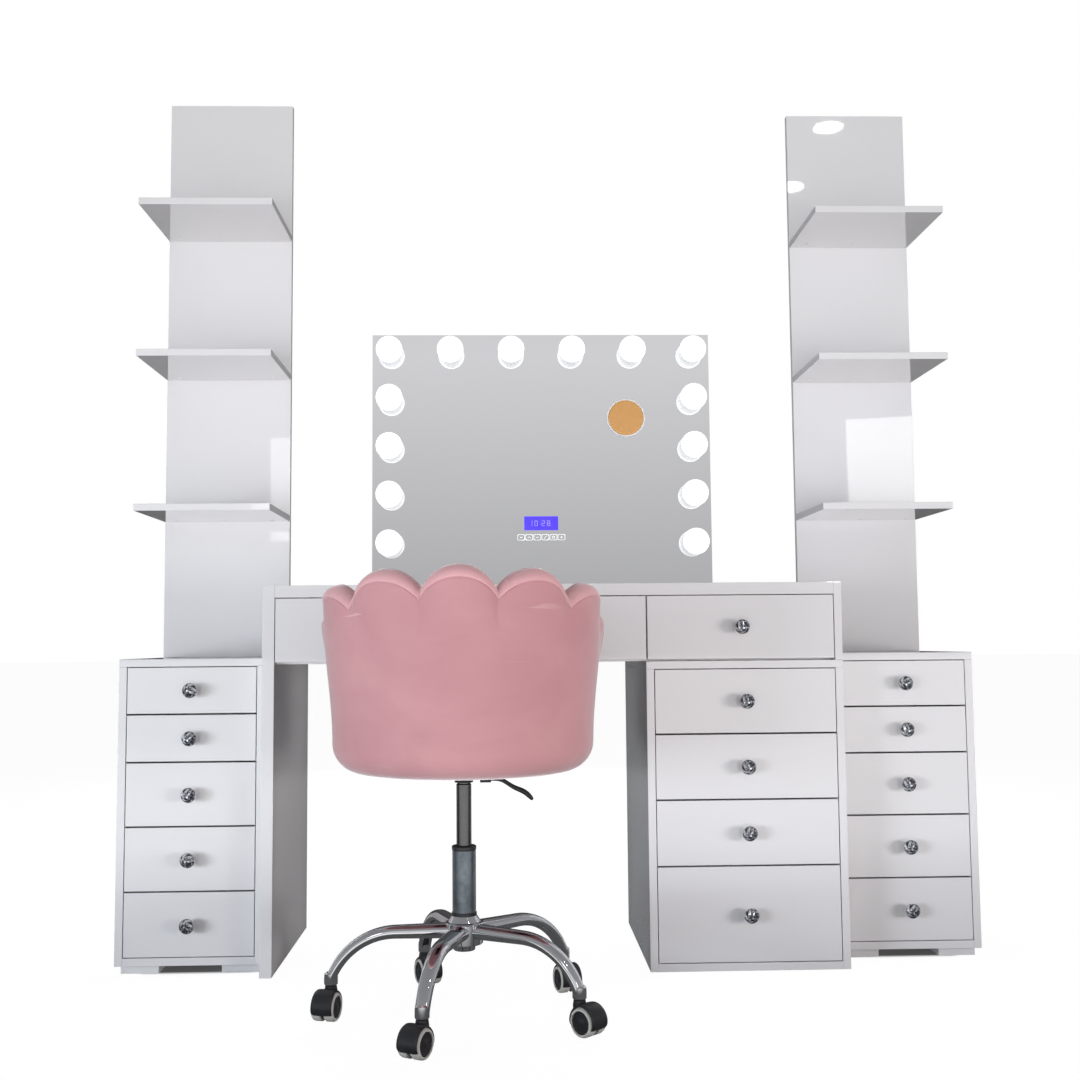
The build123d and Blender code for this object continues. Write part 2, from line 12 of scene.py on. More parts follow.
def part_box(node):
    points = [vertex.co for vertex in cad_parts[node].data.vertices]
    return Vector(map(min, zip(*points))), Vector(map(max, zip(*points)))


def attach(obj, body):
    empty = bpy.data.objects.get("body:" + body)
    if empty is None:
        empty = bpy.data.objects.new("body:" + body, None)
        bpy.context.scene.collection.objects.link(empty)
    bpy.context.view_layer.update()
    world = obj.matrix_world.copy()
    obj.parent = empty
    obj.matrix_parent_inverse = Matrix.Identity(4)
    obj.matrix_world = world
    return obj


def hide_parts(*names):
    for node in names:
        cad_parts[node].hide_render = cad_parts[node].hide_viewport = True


# The looks of the salon styling station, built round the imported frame. Metres, +Z up,
# -Y towards the viewer.

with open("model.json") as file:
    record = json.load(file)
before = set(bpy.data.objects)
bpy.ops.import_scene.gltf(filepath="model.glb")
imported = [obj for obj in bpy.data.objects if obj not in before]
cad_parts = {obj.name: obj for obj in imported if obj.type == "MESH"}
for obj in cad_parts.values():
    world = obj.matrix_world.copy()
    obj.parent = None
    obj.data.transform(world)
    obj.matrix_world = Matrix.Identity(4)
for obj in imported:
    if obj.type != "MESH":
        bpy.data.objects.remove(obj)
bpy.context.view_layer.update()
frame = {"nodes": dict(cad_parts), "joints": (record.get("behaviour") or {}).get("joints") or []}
scene = bpy.context.scene
joints = {joint["name"]: joint for joint in frame["joints"]}
random.seed(7)

# ---- camera ---------------------------
CAMERA_AT = (-0.1048, -2.5946, 0.6664)
CAMERA_YAW = 0.0293  # radians, turned towards +X
CAMERA_PITCH = 0.0811  # radians, upwards
CAMERA_ROLL = -0.0084  # radians
CAMERA_LENS = 42.489  # mm on a 36 mm sensor

# ---- sizes that the frame doesn't hold ----
BOARD_EDGE = 0.0008  # rounding of lacquered board edges
MITRE = 1e5  # grid that tells the CAD's points apart: 0.01 mm


# ---- mesh helpers ---------------------
def solids(node):
    """Lowest and highest corner of each solid in a node. A solid ends where its surface closes."""
    mesh = frame["nodes"][node].data
    points = [v.co.copy() for v in mesh.vertices]
    keys = [tuple(round(c * MITRE) for c in p) for p in points]
    found, open_edges, corners = [], set(), []
    for face in mesh.polygons:
        ring = list(face.vertices)
        for a, b in zip(ring, ring[1:] + ring[:1]):
            open_edges ^= {tuple(sorted((keys[a], keys[b])))}
        corners += [points[i] for i in ring]
        if not open_edges:
            found.append((Vector(map(min, *corners)), Vector(map(max, *corners))))
            corners = []
    return found


def circle(r, z, count, turn=0.0):
    """Points round the Z axis. The turn is a share of one step."""
    return [(r * cos(2 * pi * (i + turn) / count), r * sin(2 * pi * (i + turn) / count), z)
            for i in range(count)]


def add_board(bm, lo, hi, edge):
    """A board between two corners, with every edge rounded."""
    made = bmesh.ops.create_cube(bm, size=1.0)["verts"]
    for v in made:
        v.co = Vector((lo[i] + (v.co[i] + 0.5) * (hi[i] - lo[i]) for i in range(3)))
    edges = list({e for v in made for e in v.link_edges})
    bmesh.ops.bevel(bm, geom=edges, offset=edge, segments=2, profile=0.5, affect="EDGES",
                    clamp_overlap=True, material=0)


def skin(bm, rings, material=0, capped=True, looped=False):
    """Faces between successive rings of points. A ring of one point closes an end."""
    grid = [[bm.verts.new(p) for p in ring] for ring in rings]
    for a, b in zip(grid, grid[1:] + (grid[:1] if looped else [])):
        count = max(len(a), len(b))
        for i in range(count):
            j = (i + 1) % count
            corners = [a[i % len(a)], a[j % len(a)], b[j % len(b)], b[i % len(b)]]
            bm.faces.new(list(dict.fromkeys(corners))).material_index = material
    if capped and not looped:
        for ring in (grid[0], grid[-1]):
            if len(ring) > 2:
                bm.faces.new(ring).material_index = material
    return grid


def lathe(bm, profile, place, steps=48, material=0):
    """Turns (radius, height) points about the local Z axis of place. A profile that comes back to
    its first point makes a ring."""
    looped = profile[0] == profile[-1]
    rings = []
    for r, z in profile[:-1] if looped else profile:
        turns = steps if r > 1e-6 else 1
        rings.append([place @ Vector(point) for point in circle(r, z, turns)])
    skin(bm, rings, material, looped=looped)


def facing(x, y, z, turn=pi / 2):
    """A place at x, y, z turned about X: by default its local Z axis points at the viewer, -Y."""
    return Matrix.Translation((x, y, z)) @ Matrix.Rotation(turn, 4, "X")


def mesh_of(name, bm, materials):
    mesh = bpy.data.meshes.new(name)
    bm.to_mesh(mesh)
    bm.free()
    for material in materials:
        mesh.materials.append(material)
    return mesh


def add_object(name, data):
    obj = bpy.data.objects.new(name, data)
    scene.collection.objects.link(obj)
    return obj


def piece(name, bm, body, materials, replaces=(), smooth=35.0):
    """Makes the mesh into a named piece that rides on a body."""
    bmesh.ops.recalc_face_normals(bm, faces=bm.faces)
    mesh = mesh_of(name, bm, materials)
    mesh.shade_smooth()
    mesh.set_sharp_from_angle(angle=radians(smooth))
    obj = add_object(name, mesh)
    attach(obj, body)
    if replaces:
        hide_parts(*replaces)
    return obj


# ---- materials ------------------------
class Nodes:
    """Short ways to add nodes to a tree. An input's value is a constant or another socket."""

    def __init__(self, tree, space):
        self.nodes, self.links = tree.nodes, tree.links
        self.space = self.node("ShaderNodeTexCoord").outputs[space]

    def feed(self, socket, value):
        if isinstance(value, bpy.types.NodeSocket):
            self.links.new(value, socket)
        else:
            socket.default_value = value

    def node(self, kind, **inputs):
        made = self.nodes.new(kind)
        for key, value in inputs.items():
            self.feed(made.inputs[key.replace("_", " ")], value)
        return made

    def stretched(self, scale, turn=(0, 0, 0)):
        """Object space, turned and then scaled, for patterns that run one way."""
        return self.node("ShaderNodeMapping", Vector=self.space, Scale=scale,
                         Rotation=turn).outputs["Vector"]

    def noise(self, scale, detail=3.0, rough=0.5, space=None, distortion=0.0):
        return self.node("ShaderNodeTexNoise", Vector=space or self.space, Scale=scale,
                         Detail=detail, Roughness=rough, Distortion=distortion).outputs["Fac"]

    def attribute(self, name):
        made = self.nodes.new("ShaderNodeAttribute")
        made.attribute_name = name
        return made.outputs["Fac"]

    def spread(self, value, low, high, start=0.0, end=1.0):
        """Maps value from start..end onto low..high."""
        return self.node("ShaderNodeMapRange", Value=value, **{
            "From Min": start, "From Max": end, "To Min": low, "To Max": high}).outputs["Result"]

    def maths(self, operation, a, b=0.0):
        made = self.nodes.new("ShaderNodeMath")
        made.operation = operation
        for socket, value in zip(made.inputs, (a, b)):
            self.feed(socket, value)
        return made.outputs[0]

    def ramp(self, value, *stops):
        """Colour ramp through (position, grey or colour) stops."""
        made = self.node("ShaderNodeValToRGB", Fac=value)
        elements = made.color_ramp.elements
        while len(elements) < len(stops):
            elements.new(0.5)
        for element, (at, colour) in zip(elements, stops):
            grey = (colour,) * 3 if isinstance(colour, float) else colour
            element.position = at
            element.color = (*grey, 1.0)
        return made.outputs["Color"]

    def blend(self, share, a, b):
        """Mixes two colours by share."""
        made = self.nodes.new("ShaderNodeMix")
        made.data_type = "RGBA"
        for index, value in ((0, share), (6, a), (7, b)):
            self.feed(made.inputs[index], (*value, 1.0) if isinstance(value, tuple) else value)
        return made.outputs[2]


class Finish(Nodes):
    """A Principled material whose patterned inputs come from nodes in object space."""

    def __init__(self, name, **values):
        self.material = bpy.data.materials.new(name)
        self.material.use_nodes = True
        super().__init__(self.material.node_tree, "Object")
        self.shader = self.nodes["Principled BSDF"]
        for key, value in values.items():
            self.shader.inputs[key.replace("_", " ")].default_value = value

    def put(self, key, value):
        self.links.new(value, self.shader.inputs[key])
        return self

    def bump(self, height, strength, distance):
        made = self.node("ShaderNodeBump", Height=height, Strength=strength, Distance=distance)
        return self.put("Normal", made.outputs["Normal"])


def mottled(name, colour, rough, grain, strength, depth, **values):
    """A material whose colour and roughness vary in clouds, with a fine bump. colour is a noise
    and the colours it runs between, rough a noise scale and its two ends, grain a noise."""
    f = Finish(name, **values)
    clouds, dark, pale = colour
    f.put("Base Color", f.blend(f.noise(*clouds), dark, pale))
    scale, low, high = rough
    f.put("Roughness", f.spread(f.noise(scale), low, high))
    return f.bump(f.noise(*grain), strength, depth).material


def steel(name, low, high, rough, direction=(1.0, 1.0, 60.0)):
    """Rolled or drawn steel with fine lines across the stretched axes."""
    f = Finish(name, Metallic=1.0)
    lines = f.noise(30.0, 4.0, space=f.stretched(direction))
    cloud = f.noise(14.0, 3.0)
    f.put("Base Color", f.blend(cloud, (low,) * 3, (high, high, high * 1.03)))
    f.put("Roughness", f.spread(lines, rough * 0.7, rough * 1.4))
    return f.bump(lines, 0.05, 0.0002).material


def galvanised():
    """Satin column tube with cloudy wear and fine scratches."""
    f = Finish("satin_column", Metallic=0.9)
    wear = f.noise(35.0, 5.0, 0.65)
    f.put("Base Color", f.ramp(wear, (0.3, (0.13, 0.155, 0.175)), (0.62, (0.25, 0.285, 0.31))))
    f.put("Roughness", f.spread(wear, 0.42, 0.28))
    return f.bump(f.noise(300.0, 3.0), 0.05, 0.0003).material


def crystal():
    """Cut crystal: each facet gets its own painted brightness, from near black to white, a painted
    reflection in place of what the cut glass returns.
    """
    f = Finish("cut_crystal", Metallic=0.55, Specular_IOR_Level=0.9)
    facet_glint = f.attribute("facet_glint")
    # painted reflection: the facet value picks each facet's brightness
    f.put("Base Color", f.ramp(facet_glint, (0.0, (0.03, 0.035, 0.045)), (0.42, (0.17, 0.18, 0.21)),
                               (0.7, (0.55, 0.57, 0.62)), (0.9, (0.98, 0.98, 1.0))))
    f.put("Roughness", f.spread(facet_glint, 0.05, 0.12))
    return f.bump(f.noise(500.0, 1.0), 0.03, 0.0002).material


def mirror_silver():
    """Silvered face with a faint haze, and green-tinted polished edges."""
    f = Finish("silvered_glass", Metallic=1.0)
    normal = f.node("ShaderNodeNewGeometry").outputs["True Normal"]
    turned = f.node("ShaderNodeSeparateXYZ", Vector=normal).outputs["Y"]
    face = f.maths("ABSOLUTE", turned)
    silver = f.blend(f.noise(3.0), (0.765, 0.765, 0.775), (0.785, 0.785, 0.795))
    f.put("Base Color", f.blend(face, (0.35, 0.46, 0.42), silver))
    f.put("Roughness", f.spread(f.noise(40.0, 5.0), 0.0, 0.025))
    return f.material


def opal():
    """Opal glass of a lit globe, whiter in its middle than at its neck, where its glow turns
    teal-grey as painted shade.
    """
    f = Finish("opal_glass", Roughness=0.25, Emission_Strength=0.75)
    f.put("Base Color", f.blend(f.noise(50.0), (0.86, 0.87, 0.88), (0.92, 0.92, 0.92)))
    # painted shade: the glow darkens to teal-grey towards the neck
    f.put("Emission Color", f.ramp(f.attribute("neck"), (0.0, (1.0, 1.0, 1.0)),
                                   (1.0, (0.42, 0.50, 0.52))))
    return f.material


def glow(name, colour, strength):
    """Lit display ink; the base stays dark so that the light gives the colour."""
    f = Finish(name, Roughness=0.3, Emission_Strength=strength)
    f.put("Base Color", f.blend(f.noise(90.0), tuple(c * 0.1 for c in colour), colour))
    f.put("Emission Color", f.blend(f.noise(25.0), tuple(c * 0.94 for c in colour), colour))
    return f.material


def circuit_board():
    f = Finish("circuit_board")
    tracks = f.noise(160.0, 1.0, space=f.stretched((1.0, 1.0, 8.0)))
    f.put("Base Color", f.ramp(tracks, (0.45, (0.01, 0.09, 0.045)), (0.55, (0.03, 0.2, 0.09))))
    f.put("Roughness", f.spread(tracks, 0.3, 0.5))
    return f.bump(tracks, 0.3, 0.0003).material


def velvet():
    """Pink velvet: short pile, soft nap patches, a few thin brush strokes the nap keeps, and a
    painted highlight along the rolled crest.
    """
    f = Finish("pink_velvet", Sheen_Weight=1.0, Sheen_Roughness=0.36,
               Sheen_Tint=(1.0, 0.96, 0.97, 1.0), Specular_IOR_Level=0.12)
    nap = f.noise(5.5, 3.0, 0.55, space=f.stretched((1.0, 1.0, 1.6)), distortion=0.6)
    pile = f.noise(620.0, 2.0)
    base = f.ramp(nap, (0.25, (0.49, 0.238, 0.260)), (0.5, (0.54, 0.276, 0.294)),
                  (0.75, (0.59, 0.312, 0.326)))
    strokes = f.noise(9.0, 2.0, 0.4, space=f.stretched((0.35, 1.0, 9.0), turn=(0, radians(42), 0)))
    lines = f.spread(strokes, 0.0, 1.0, 0.665, 0.70)
    patch = f.spread(f.noise(2.3, 1.0), 0.0, 1.0, 0.47, 0.62)
    stroke = f.maths("MULTIPLY", lines, patch)
    worn = f.blend(f.maths("MULTIPLY", stroke, 0.55), base, (0.86, 0.60, 0.60))
    # painted highlight: the crest share lightens the rolled top towards pale pink
    crest = f.maths("MULTIPLY", f.attribute("crest"), 0.55)
    lit = f.blend(crest, worn, (0.80, 0.47, 0.49))
    f.put("Base Color", f.blend(f.spread(pile, 0.0, 0.22), lit, (0.46, 0.20, 0.225)))
    f.put("Roughness", f.spread(nap, 0.72, 0.88))
    return f.bump(pile, 0.35, 0.0007).material


def paper_floor():
    """Pale studio floor: nearly white to the camera, with a painted shadow under the side cabinets,
    and a source of bounced light in front of the furniture."""
    f = Finish("studio_floor", Roughness=0.8, Specular_IOR_Level=0.1,
               Emission_Color=(1.0, 1.0, 1.0, 1.0))
    ray = f.node("ShaderNodeLightPath")
    seen, glossy = ray.outputs["Is Camera Ray"], ray.outputs["Is Glossy Ray"]
    dim = f.blend(f.noise(3.0), (0.34, 0.34, 0.345), (0.38, 0.38, 0.385))
    f.put("Base Color", f.blend(f.maths("MAXIMUM", seen, glossy), dim, (0.09, 0.09, 0.09)))
    place = f.node("ShaderNodeSeparateXYZ", Vector=f.space)
    ahead = place.outputs["Y"]
    bounce = f.maths("MAXIMUM", f.spread(ahead, 0.0, 1.38, -0.6, -1.6),
                     f.spread(glossy, 0.0, 0.06))
    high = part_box("side_cabinet_carcasses")[1]
    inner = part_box("desk_carcass")[1].x
    boards = solids("side_cabinet_carcasses")
    fronts = [min(low.y for low, _ in boards if low.x * side > 0) for side in (-1, 1)]
    inset = f.maths("SUBTRACT", ahead, f.spread(place.outputs["X"], *fronts, -0.01, 0.01))
    aside = f.maths("ABSOLUTE", place.outputs["X"])
    beside = f.maths("MULTIPLY", f.spread(aside, 0.0, 1.0, inner, inner + 0.03),
                     f.spread(aside, 1.0, 0.0, high.x - 0.06, high.x - 0.04))
    depth = f.maths("MULTIPLY", f.spread(inset, 0.0, 1.0, 0.01, 0.03),
                    f.spread(ahead, 1.0, 0.0, high.y - 0.02, high.y))
    # painted shadow: the camera's white falls to 6 % in this box under the side cabinets
    painted_shadow_under = f.maths("MULTIPLY", beside, depth)
    white = f.maths("MULTIPLY", f.spread(seen, 0.0, 0.955), f.spread(painted_shadow_under, 1.0, 0.06))
    f.put("Emission Strength", f.maths("MAXIMUM", white, bounce))
    return f.material


WHITE = mottled("white_lacquer", ((2.2, 2.0), (0.775, 0.757, 0.768), (0.80, 0.785, 0.80)),
                (9.0, 0.015, 0.035), (26.0, 1.0), 0.006, 0.0006,
                Coat_Weight=0.6, Coat_Roughness=0.01)
MELAMINE = mottled("white_melamine", ((60.0,), (0.66, 0.65, 0.64), (0.72, 0.71, 0.70)),
                   (140.0, 0.42, 0.58), (900.0, 2.0), 0.12, 0.0003)
RUNNER = steel("runner_steel", 0.55, 0.70, 0.30)
CHROME = mottled("chrome", ((22.0,), (0.70, 0.71, 0.73), (0.80, 0.81, 0.83)),
                 (60.0, 0.03, 0.09), (90.0, 1.0), 0.02, 0.0003, Metallic=1.0)
COLUMN = galvanised()
PISTON = steel("piston_steel", 0.10, 0.15, 0.24, (60.0, 60.0, 1.0))
CRYSTAL = crystal()
SILVER = mirror_silver()
HOUSING = mottled("housing_paint", ((20.0,), (0.60, 0.60, 0.61), (0.67, 0.67, 0.68)),
                  (200.0, 0.38, 0.5), (700.0, 2.0), 0.25, 0.0004)
OPAL = opal()
COLLAR = mottled("lamp_collar", ((80.0,), (0.50, 0.58, 0.58), (0.62, 0.68, 0.68)),
                 (150.0, 0.25, 0.4), (600.0,), 0.05, 0.0003)
PANEL_GLOW = glow("display_glow", (0.072, 0.040, 0.95), 0.95)
DIGIT_GLOW = glow("digit_glow", (0.30, 0.27, 1.0), 1.1)
KEY_GLOW = glow("key_glow", (0.98, 0.99, 1.0), 0.85)
TAN = mottled("tan_lens", ((55.0, 6.0, 0.7), (0.65, 0.32, 0.095), (0.73, 0.40, 0.15)),
              (120.0, 0.30, 0.45), (260.0, 4.0), 0.08, 0.0004, Metallic=0.25)
WHITE_PLASTIC = mottled("white_plastic", ((70.0,), (0.80, 0.80, 0.79), (0.86, 0.86, 0.85)),
                        (180.0, 0.2, 0.32), (700.0,), 0.04, 0.0002)
BLACK = mottled("black_plastic", ((45.0,), (0.012, 0.012, 0.014), (0.028, 0.028, 0.032)),
                (160.0, 0.26, 0.42), (1400.0, 2.0), 0.12, 0.0003)
TYRE = mottled("pale_tyre", ((70.0, 4.0), (0.48, 0.46, 0.43), (0.62, 0.60, 0.565)),
               (300.0, 0.45, 0.62), (900.0, 3.0), 0.1, 0.0004)
BLACK_STEEL = mottled("black_steel", ((50.0,), (0.014, 0.014, 0.015), (0.03, 0.03, 0.032)),
                      (120.0, 0.35, 0.5), (800.0, 2.0), 0.2, 0.0003, Metallic=0.4)
CIRCUIT = circuit_board()
VELVET = velvet()


def paint(node, material):
    """Gives a CAD node that stays in view its finish."""
    for slot in frame["nodes"][node].material_slots:
        slot.material = material


# ---- cabinets, towers and shelves -----
def boards_piece(name, boxes, replaces, body="station", material=WHITE,
                 edge=BOARD_EDGE):
    """Boards with rounded edges, as one piece."""
    bm = bmesh.new()
    for lo, hi in boxes:
        add_board(bm, lo, hi, edge)
    piece(name, bm, body, [material], replaces, smooth=10)


def shelf_screws():
    """Three countersunk screws under each shelf."""
    bm = bmesh.new()
    for lo, hi in solids("tower_shelves"):
        middle = (lo.x + hi.x) / 2
        for x in (middle - 0.111, middle, middle + 0.111):
            place = facing(x, hi.y - 0.033, lo.z, pi)
            lathe(bm, [(0, -0.0005), (0.0036, -0.0005), (0.0036, 0.0002), (0.0030, 0.0006),
                       (0.0011, 0.0006), (0.0009, -0.0002), (0, -0.0002)], place, 16)
    piece("shelf_screws", bm, "station", [RUNNER])


# ---- drawers --------------------------
def drawer(name):
    """Lacquered front, melamine box and steel runner slides of one drawer."""
    body = f"{name}_unit"
    front, *rest = solids(name)
    for part, boxes, slot, material, edge in (
            ("front", [front], "white_lacquer", WHITE, 0.0011),
            ("box", rest[:4], "white_lacquer", MELAMINE, 0.0006),
            ("slides", rest[4:], "runner_steel", RUNNER, 0.0010)):
        boards_piece(f"{name}_{part}", boxes, [name] if part == "front" else [], body,
                     material, edge)


# Facet rings of a knob from its table to its back: radius, height off the front, points, turn.
KNOB_RINGS = ((0.0052, 0.0280, 8, 0.0), (0.0100, 0.0262, 8, 0.5), (0.0138, 0.0225, 16, 0.25),
              (0.0148, 0.0195, 16, 0.25), (0.0148, 0.0182, 16, 0.25), (0.0115, 0.0130, 16, 0.25),
              (0.0078, 0.0092, 8, 0.0))


def facet_band(bm, a, b):
    """Triangles between two rings of points, each ring listed by angle, whatever their counts."""
    i = j = 0
    while i < len(a) or j < len(b):
        take_a = j >= len(b) or (i < len(a) and (i + 0.5) / len(a) <= (j + 0.5) / len(b))
        here, there = a[i % len(a)], b[j % len(b)]
        if take_a:
            i += 1
            bm.faces.new((here, a[i % len(a)], there))
        else:
            j += 1
            bm.faces.new((here, b[j % len(b)], there))


def knob_mesh():
    """Brilliant-cut head about the local Z axis, with one painted reflection brightness for each
    facet.
    """
    bm = bmesh.new()
    rings = []
    for ring in KNOB_RINGS:
        rings.append([bm.verts.new(point) for point in circle(*ring)])
    centre = bm.verts.new((0, 0, KNOB_RINGS[0][1] + 0.0002))
    for i, v in enumerate(rings[0]):
        bm.faces.new((centre, v, rings[0][(i + 1) % len(rings[0])]))
    for a, b in zip(rings, rings[1:]):
        facet_band(bm, a, b)
    bm.faces.new(rings[-1])
    layer = bm.faces.layers.float.new("facet_glint")
    bmesh.ops.recalc_face_normals(bm, faces=bm.faces)
    # each facet's value sets its painted reflection brightness in the crystal finish
    for face in bm.faces:
        face[layer] = random.choice((0.05, 0.2, 0.35, 0.5, 0.75, 1.0))
    return mesh_of("knob_head", bm, [CRYSTAL])


KNOB_HEAD = knob_mesh()
KNOB_MOUNT = [(0, 0.0002), (0.0095, 0.0002), (0.0100, 0.0008), (0.0098, 0.0018), (0.0060, 0.0030),
              (0.0052, 0.0050), (0.0060, 0.0080), (0.0088, 0.0093), (0.0128, 0.0128),
              (0.0152, 0.0176), (0.0156, 0.0188), (0.0150, 0.0198), (0.0146, 0.0186),
              (0.0120, 0.0128), (0, 0.0095)]


def knobs(name):
    """Each crystal head on its chrome cup, and the screw head inside the drawer."""
    node = f"{name}_knob"
    body = f"{name}_unit"
    heads = solids(node)[::2]
    face_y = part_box(name)[0].y
    for number, (lo, hi) in enumerate(heads, start=1):
        place = facing((lo.x + hi.x) / 2, face_y, (lo.z + hi.z) / 2)
        head = add_object(f"{node}_{number}_crystal", KNOB_HEAD)
        head.matrix_world = place @ Matrix.Rotation(random.uniform(0, pi), 4, "Z")
        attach(head, body)
        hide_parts(node)
        bm = bmesh.new()
        lathe(bm, KNOB_MOUNT, place, 40)
        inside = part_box(node)[1].y - face_y
        lathe(bm, [(0, -inside), (0.0030, -inside), (0.0045, -inside + 0.0010),
                   (0.0045, -inside + 0.0024), (0.0019, -inside + 0.0025), (0.0019, 0.0)],
              place, 20)
        piece(f"{node}_{number}_mount", bm, body, [CHROME])


# ---- mirror ---------------------------
BULB_R = 0.031


def bulb_places():
    """x and z of each globe: a row across the top and a column down each side."""
    lo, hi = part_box("mirror_bulbs")
    left, right = lo.x + BULB_R, hi.x - BULB_R
    bottom, top = lo.z + BULB_R, hi.z - BULB_R
    places = [(x, top) for x in np.linspace(left, right, 6)]
    for z in np.linspace(top, bottom, 5)[1:]:
        places += [(left, z), (right, z)]
    return places


def bulbs():
    """Lit globes on their necks, each in a pale collar on the glass."""
    glass_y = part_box("mirror_glass")[0].y
    stand = glass_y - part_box("mirror_bulbs")[0].y - BULB_R
    r = BULB_R
    globes, collars = bmesh.new(), bmesh.new()
    for x, z in bulb_places():
        place = facing(x, glass_y, z)
        neck_r, blend_at = 0.0145, radians(40)
        profile = [(0, stand + r)]
        profile += [(r * sin(a), stand + r * cos(a))
                    for a in np.linspace(0.06, pi - blend_at, 30)]
        profile += [(neck_r + 0.0012, 0.0085), (neck_r, 0.0045), (neck_r, -0.018), (0, -0.018)]
        lathe(globes, profile, place, 48)
        lathe(collars, [(0.0158, -0.003), (0.0158, 0.0006), (0.0215, 0.0006), (0.0215, 0.0022),
                        (0.0200, 0.0036), (0.0162, 0.0040), (0.0150, 0.0030), (0.0150, -0.003),
                        (0.0158, -0.003)], place, 40)
    made = piece("mirror_globes", globes, "station", [OPAL], ["mirror_bulbs"])
    # share towards the glass, 1 at and behind it and 0 from 30 mm in front: where the glow's
    # painted shade falls
    neck = made.data.attributes.new("neck", "FLOAT", "POINT")
    depth = [(v.co.y - glass_y) / 0.030 + 1.0 for v in made.data.vertices]
    neck.data.foreach_set("value", np.clip(depth, 0, 1).astype(np.float32))
    piece("bulb_collars", collars, "station", [COLLAR])


def flat_outline(bm, points, y, depth, material=0):
    """A thin plate on the glass: an outline of (x, z) points, raised towards the viewer."""
    back = [bm.verts.new((x, y, z)) for x, z in points]
    front = [bm.verts.new((x, y - depth, z)) for x, z in points]
    bm.faces.new(front).material_index = material
    for i in range(len(points)):
        j = (i + 1) % len(points)
        bm.faces.new((back[i], back[j], front[j], front[i])).material_index = material


def rounded(x, z, w, h, r, steps=5):
    """Outline of a rounded rectangle about x, z."""
    points = []
    for cx, cz, start in ((w / 2 - r, h / 2 - r, 0), (r - w / 2, h / 2 - r, 90),
                          (r - w / 2, r - h / 2, 180), (w / 2 - r, r - h / 2, 270)):
        for k in range(steps + 1):
            a = radians(start + 90 * k / steps)
            points.append((x + cx + r * cos(a), z + cz + r * sin(a)))
    return points


def ribbon(bm, points, width, y, depth, closed=False):
    """A raised line of constant width through (x, z) points."""
    count = len(points)
    for i in range(count if closed else count - 1):
        (x0, z0), (x1, z1) = points[i], points[(i + 1) % count]
        length = sqrt((x1 - x0) ** 2 + (z1 - z0) ** 2)
        along = ((x1 - x0) / length, (z1 - z0) / length)
        side = (-along[1] * width / 2, along[0] * width / 2)
        grow = (along[0] * width / 3, along[1] * width / 3)
        ends = ((x0, z0, -1, 1), (x1, z1, 1, 1), (x1, z1, 1, -1), (x0, z0, -1, -1))
        flat_outline(bm, [(x + e * grow[0] + f * side[0], z + e * grow[1] + f * side[1])
                          for x, z, e, f in ends], y, depth)


# Strokes of a seven-segment digit, in a cell one wide and two high.
SEGMENTS = {"a": ((0, 2), (1, 2)), "b": ((1, 2), (1, 1)), "c": ((1, 1), (1, 0)),
            "d": ((0, 0), (1, 0)), "e": ((0, 1), (0, 0)), "f": ((0, 2), (0, 1)),
            "g": ((0, 1), (1, 1))}
DIGITS = {"1": "bc", "0": "abcdef", "8": "abcdefg", "2": "abged"}


def touch_panel():
    """Clock display and the row of six touch keys, printed on the glass."""
    glass_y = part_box("mirror_glass")[0].y - 0.0001
    _, (show_lo, show_hi), (keys_lo, keys_hi) = solids("mirror_electronics")
    middle_x = (show_lo.x + show_hi.x) / 2
    middle_z = (show_lo.z + show_hi.z) / 2
    width, height = show_hi.x - show_lo.x - 0.004, show_hi.z - show_lo.z - 0.003
    bm = bmesh.new()
    flat_outline(bm, rounded(middle_x, middle_z, width, height, 0.001), glass_y, 0.0002)
    piece("clock_display", bm, "station", [PANEL_GLOW])
    bm = bmesh.new()
    cell, step = 0.0058, 0.0125
    for place, digit in enumerate("1028"):
        x0 = middle_x - 0.0275 + place * step + (0.0045 if place > 1 else 0)
        for key in DIGITS[digit]:
            stroke = [(x0 + x * cell, middle_z + (z - 1) * cell) for x, z in SEGMENTS[key]]
            ribbon(bm, stroke, 0.0013, glass_y - 0.0002, 0.0001)
    for z in (-0.0028, 0.0028):
        flat_outline(bm, rounded(middle_x - 0.0005, middle_z + z, 0.0016, 0.0016, 0.0007),
                     glass_y - 0.0002, 0.0001)
    piece("clock_digits", bm, "station", [DIGIT_GLOW])
    bm = bmesh.new()
    pitch = 0.0190
    z = (keys_lo.z + keys_hi.z) / 2
    for place in range(6):
        x = middle_x + (place - 2.5) * pitch
        ribbon(bm, rounded(x, z, 0.0165, 0.0130, 0.0028, 3), 0.0010, glass_y, 0.0002, closed=True)
        for line in key_glyph(place, x, z):
            ribbon(bm, line, 0.0010, glass_y, 0.0002)
    piece("touch_keys", bm, "station", [KEY_GLOW])


def key_glyph(place, x, z):
    """Lines of a key's sign: down, up, less, off, lamp, more."""
    s = 0.0028
    ring = [(x + s * cos(k * pi / 5), z + s * sin(k * pi / 5)) for k in range(11)]
    return (
        [[(x - s, z + s / 2), (x, z - s / 2), (x + s, z + s / 2)]],
        [[(x - s, z - s / 2), (x, z + s / 2), (x + s, z - s / 2)]],
        [[(x - s, z), (x + s, z)]],
        [[(x - s, z - s), (x + s, z + s)]],
        [ring],
        [[(x - s, z), (x + s, z)], [(x, z - s), (x, z + s)]],
    )[place]


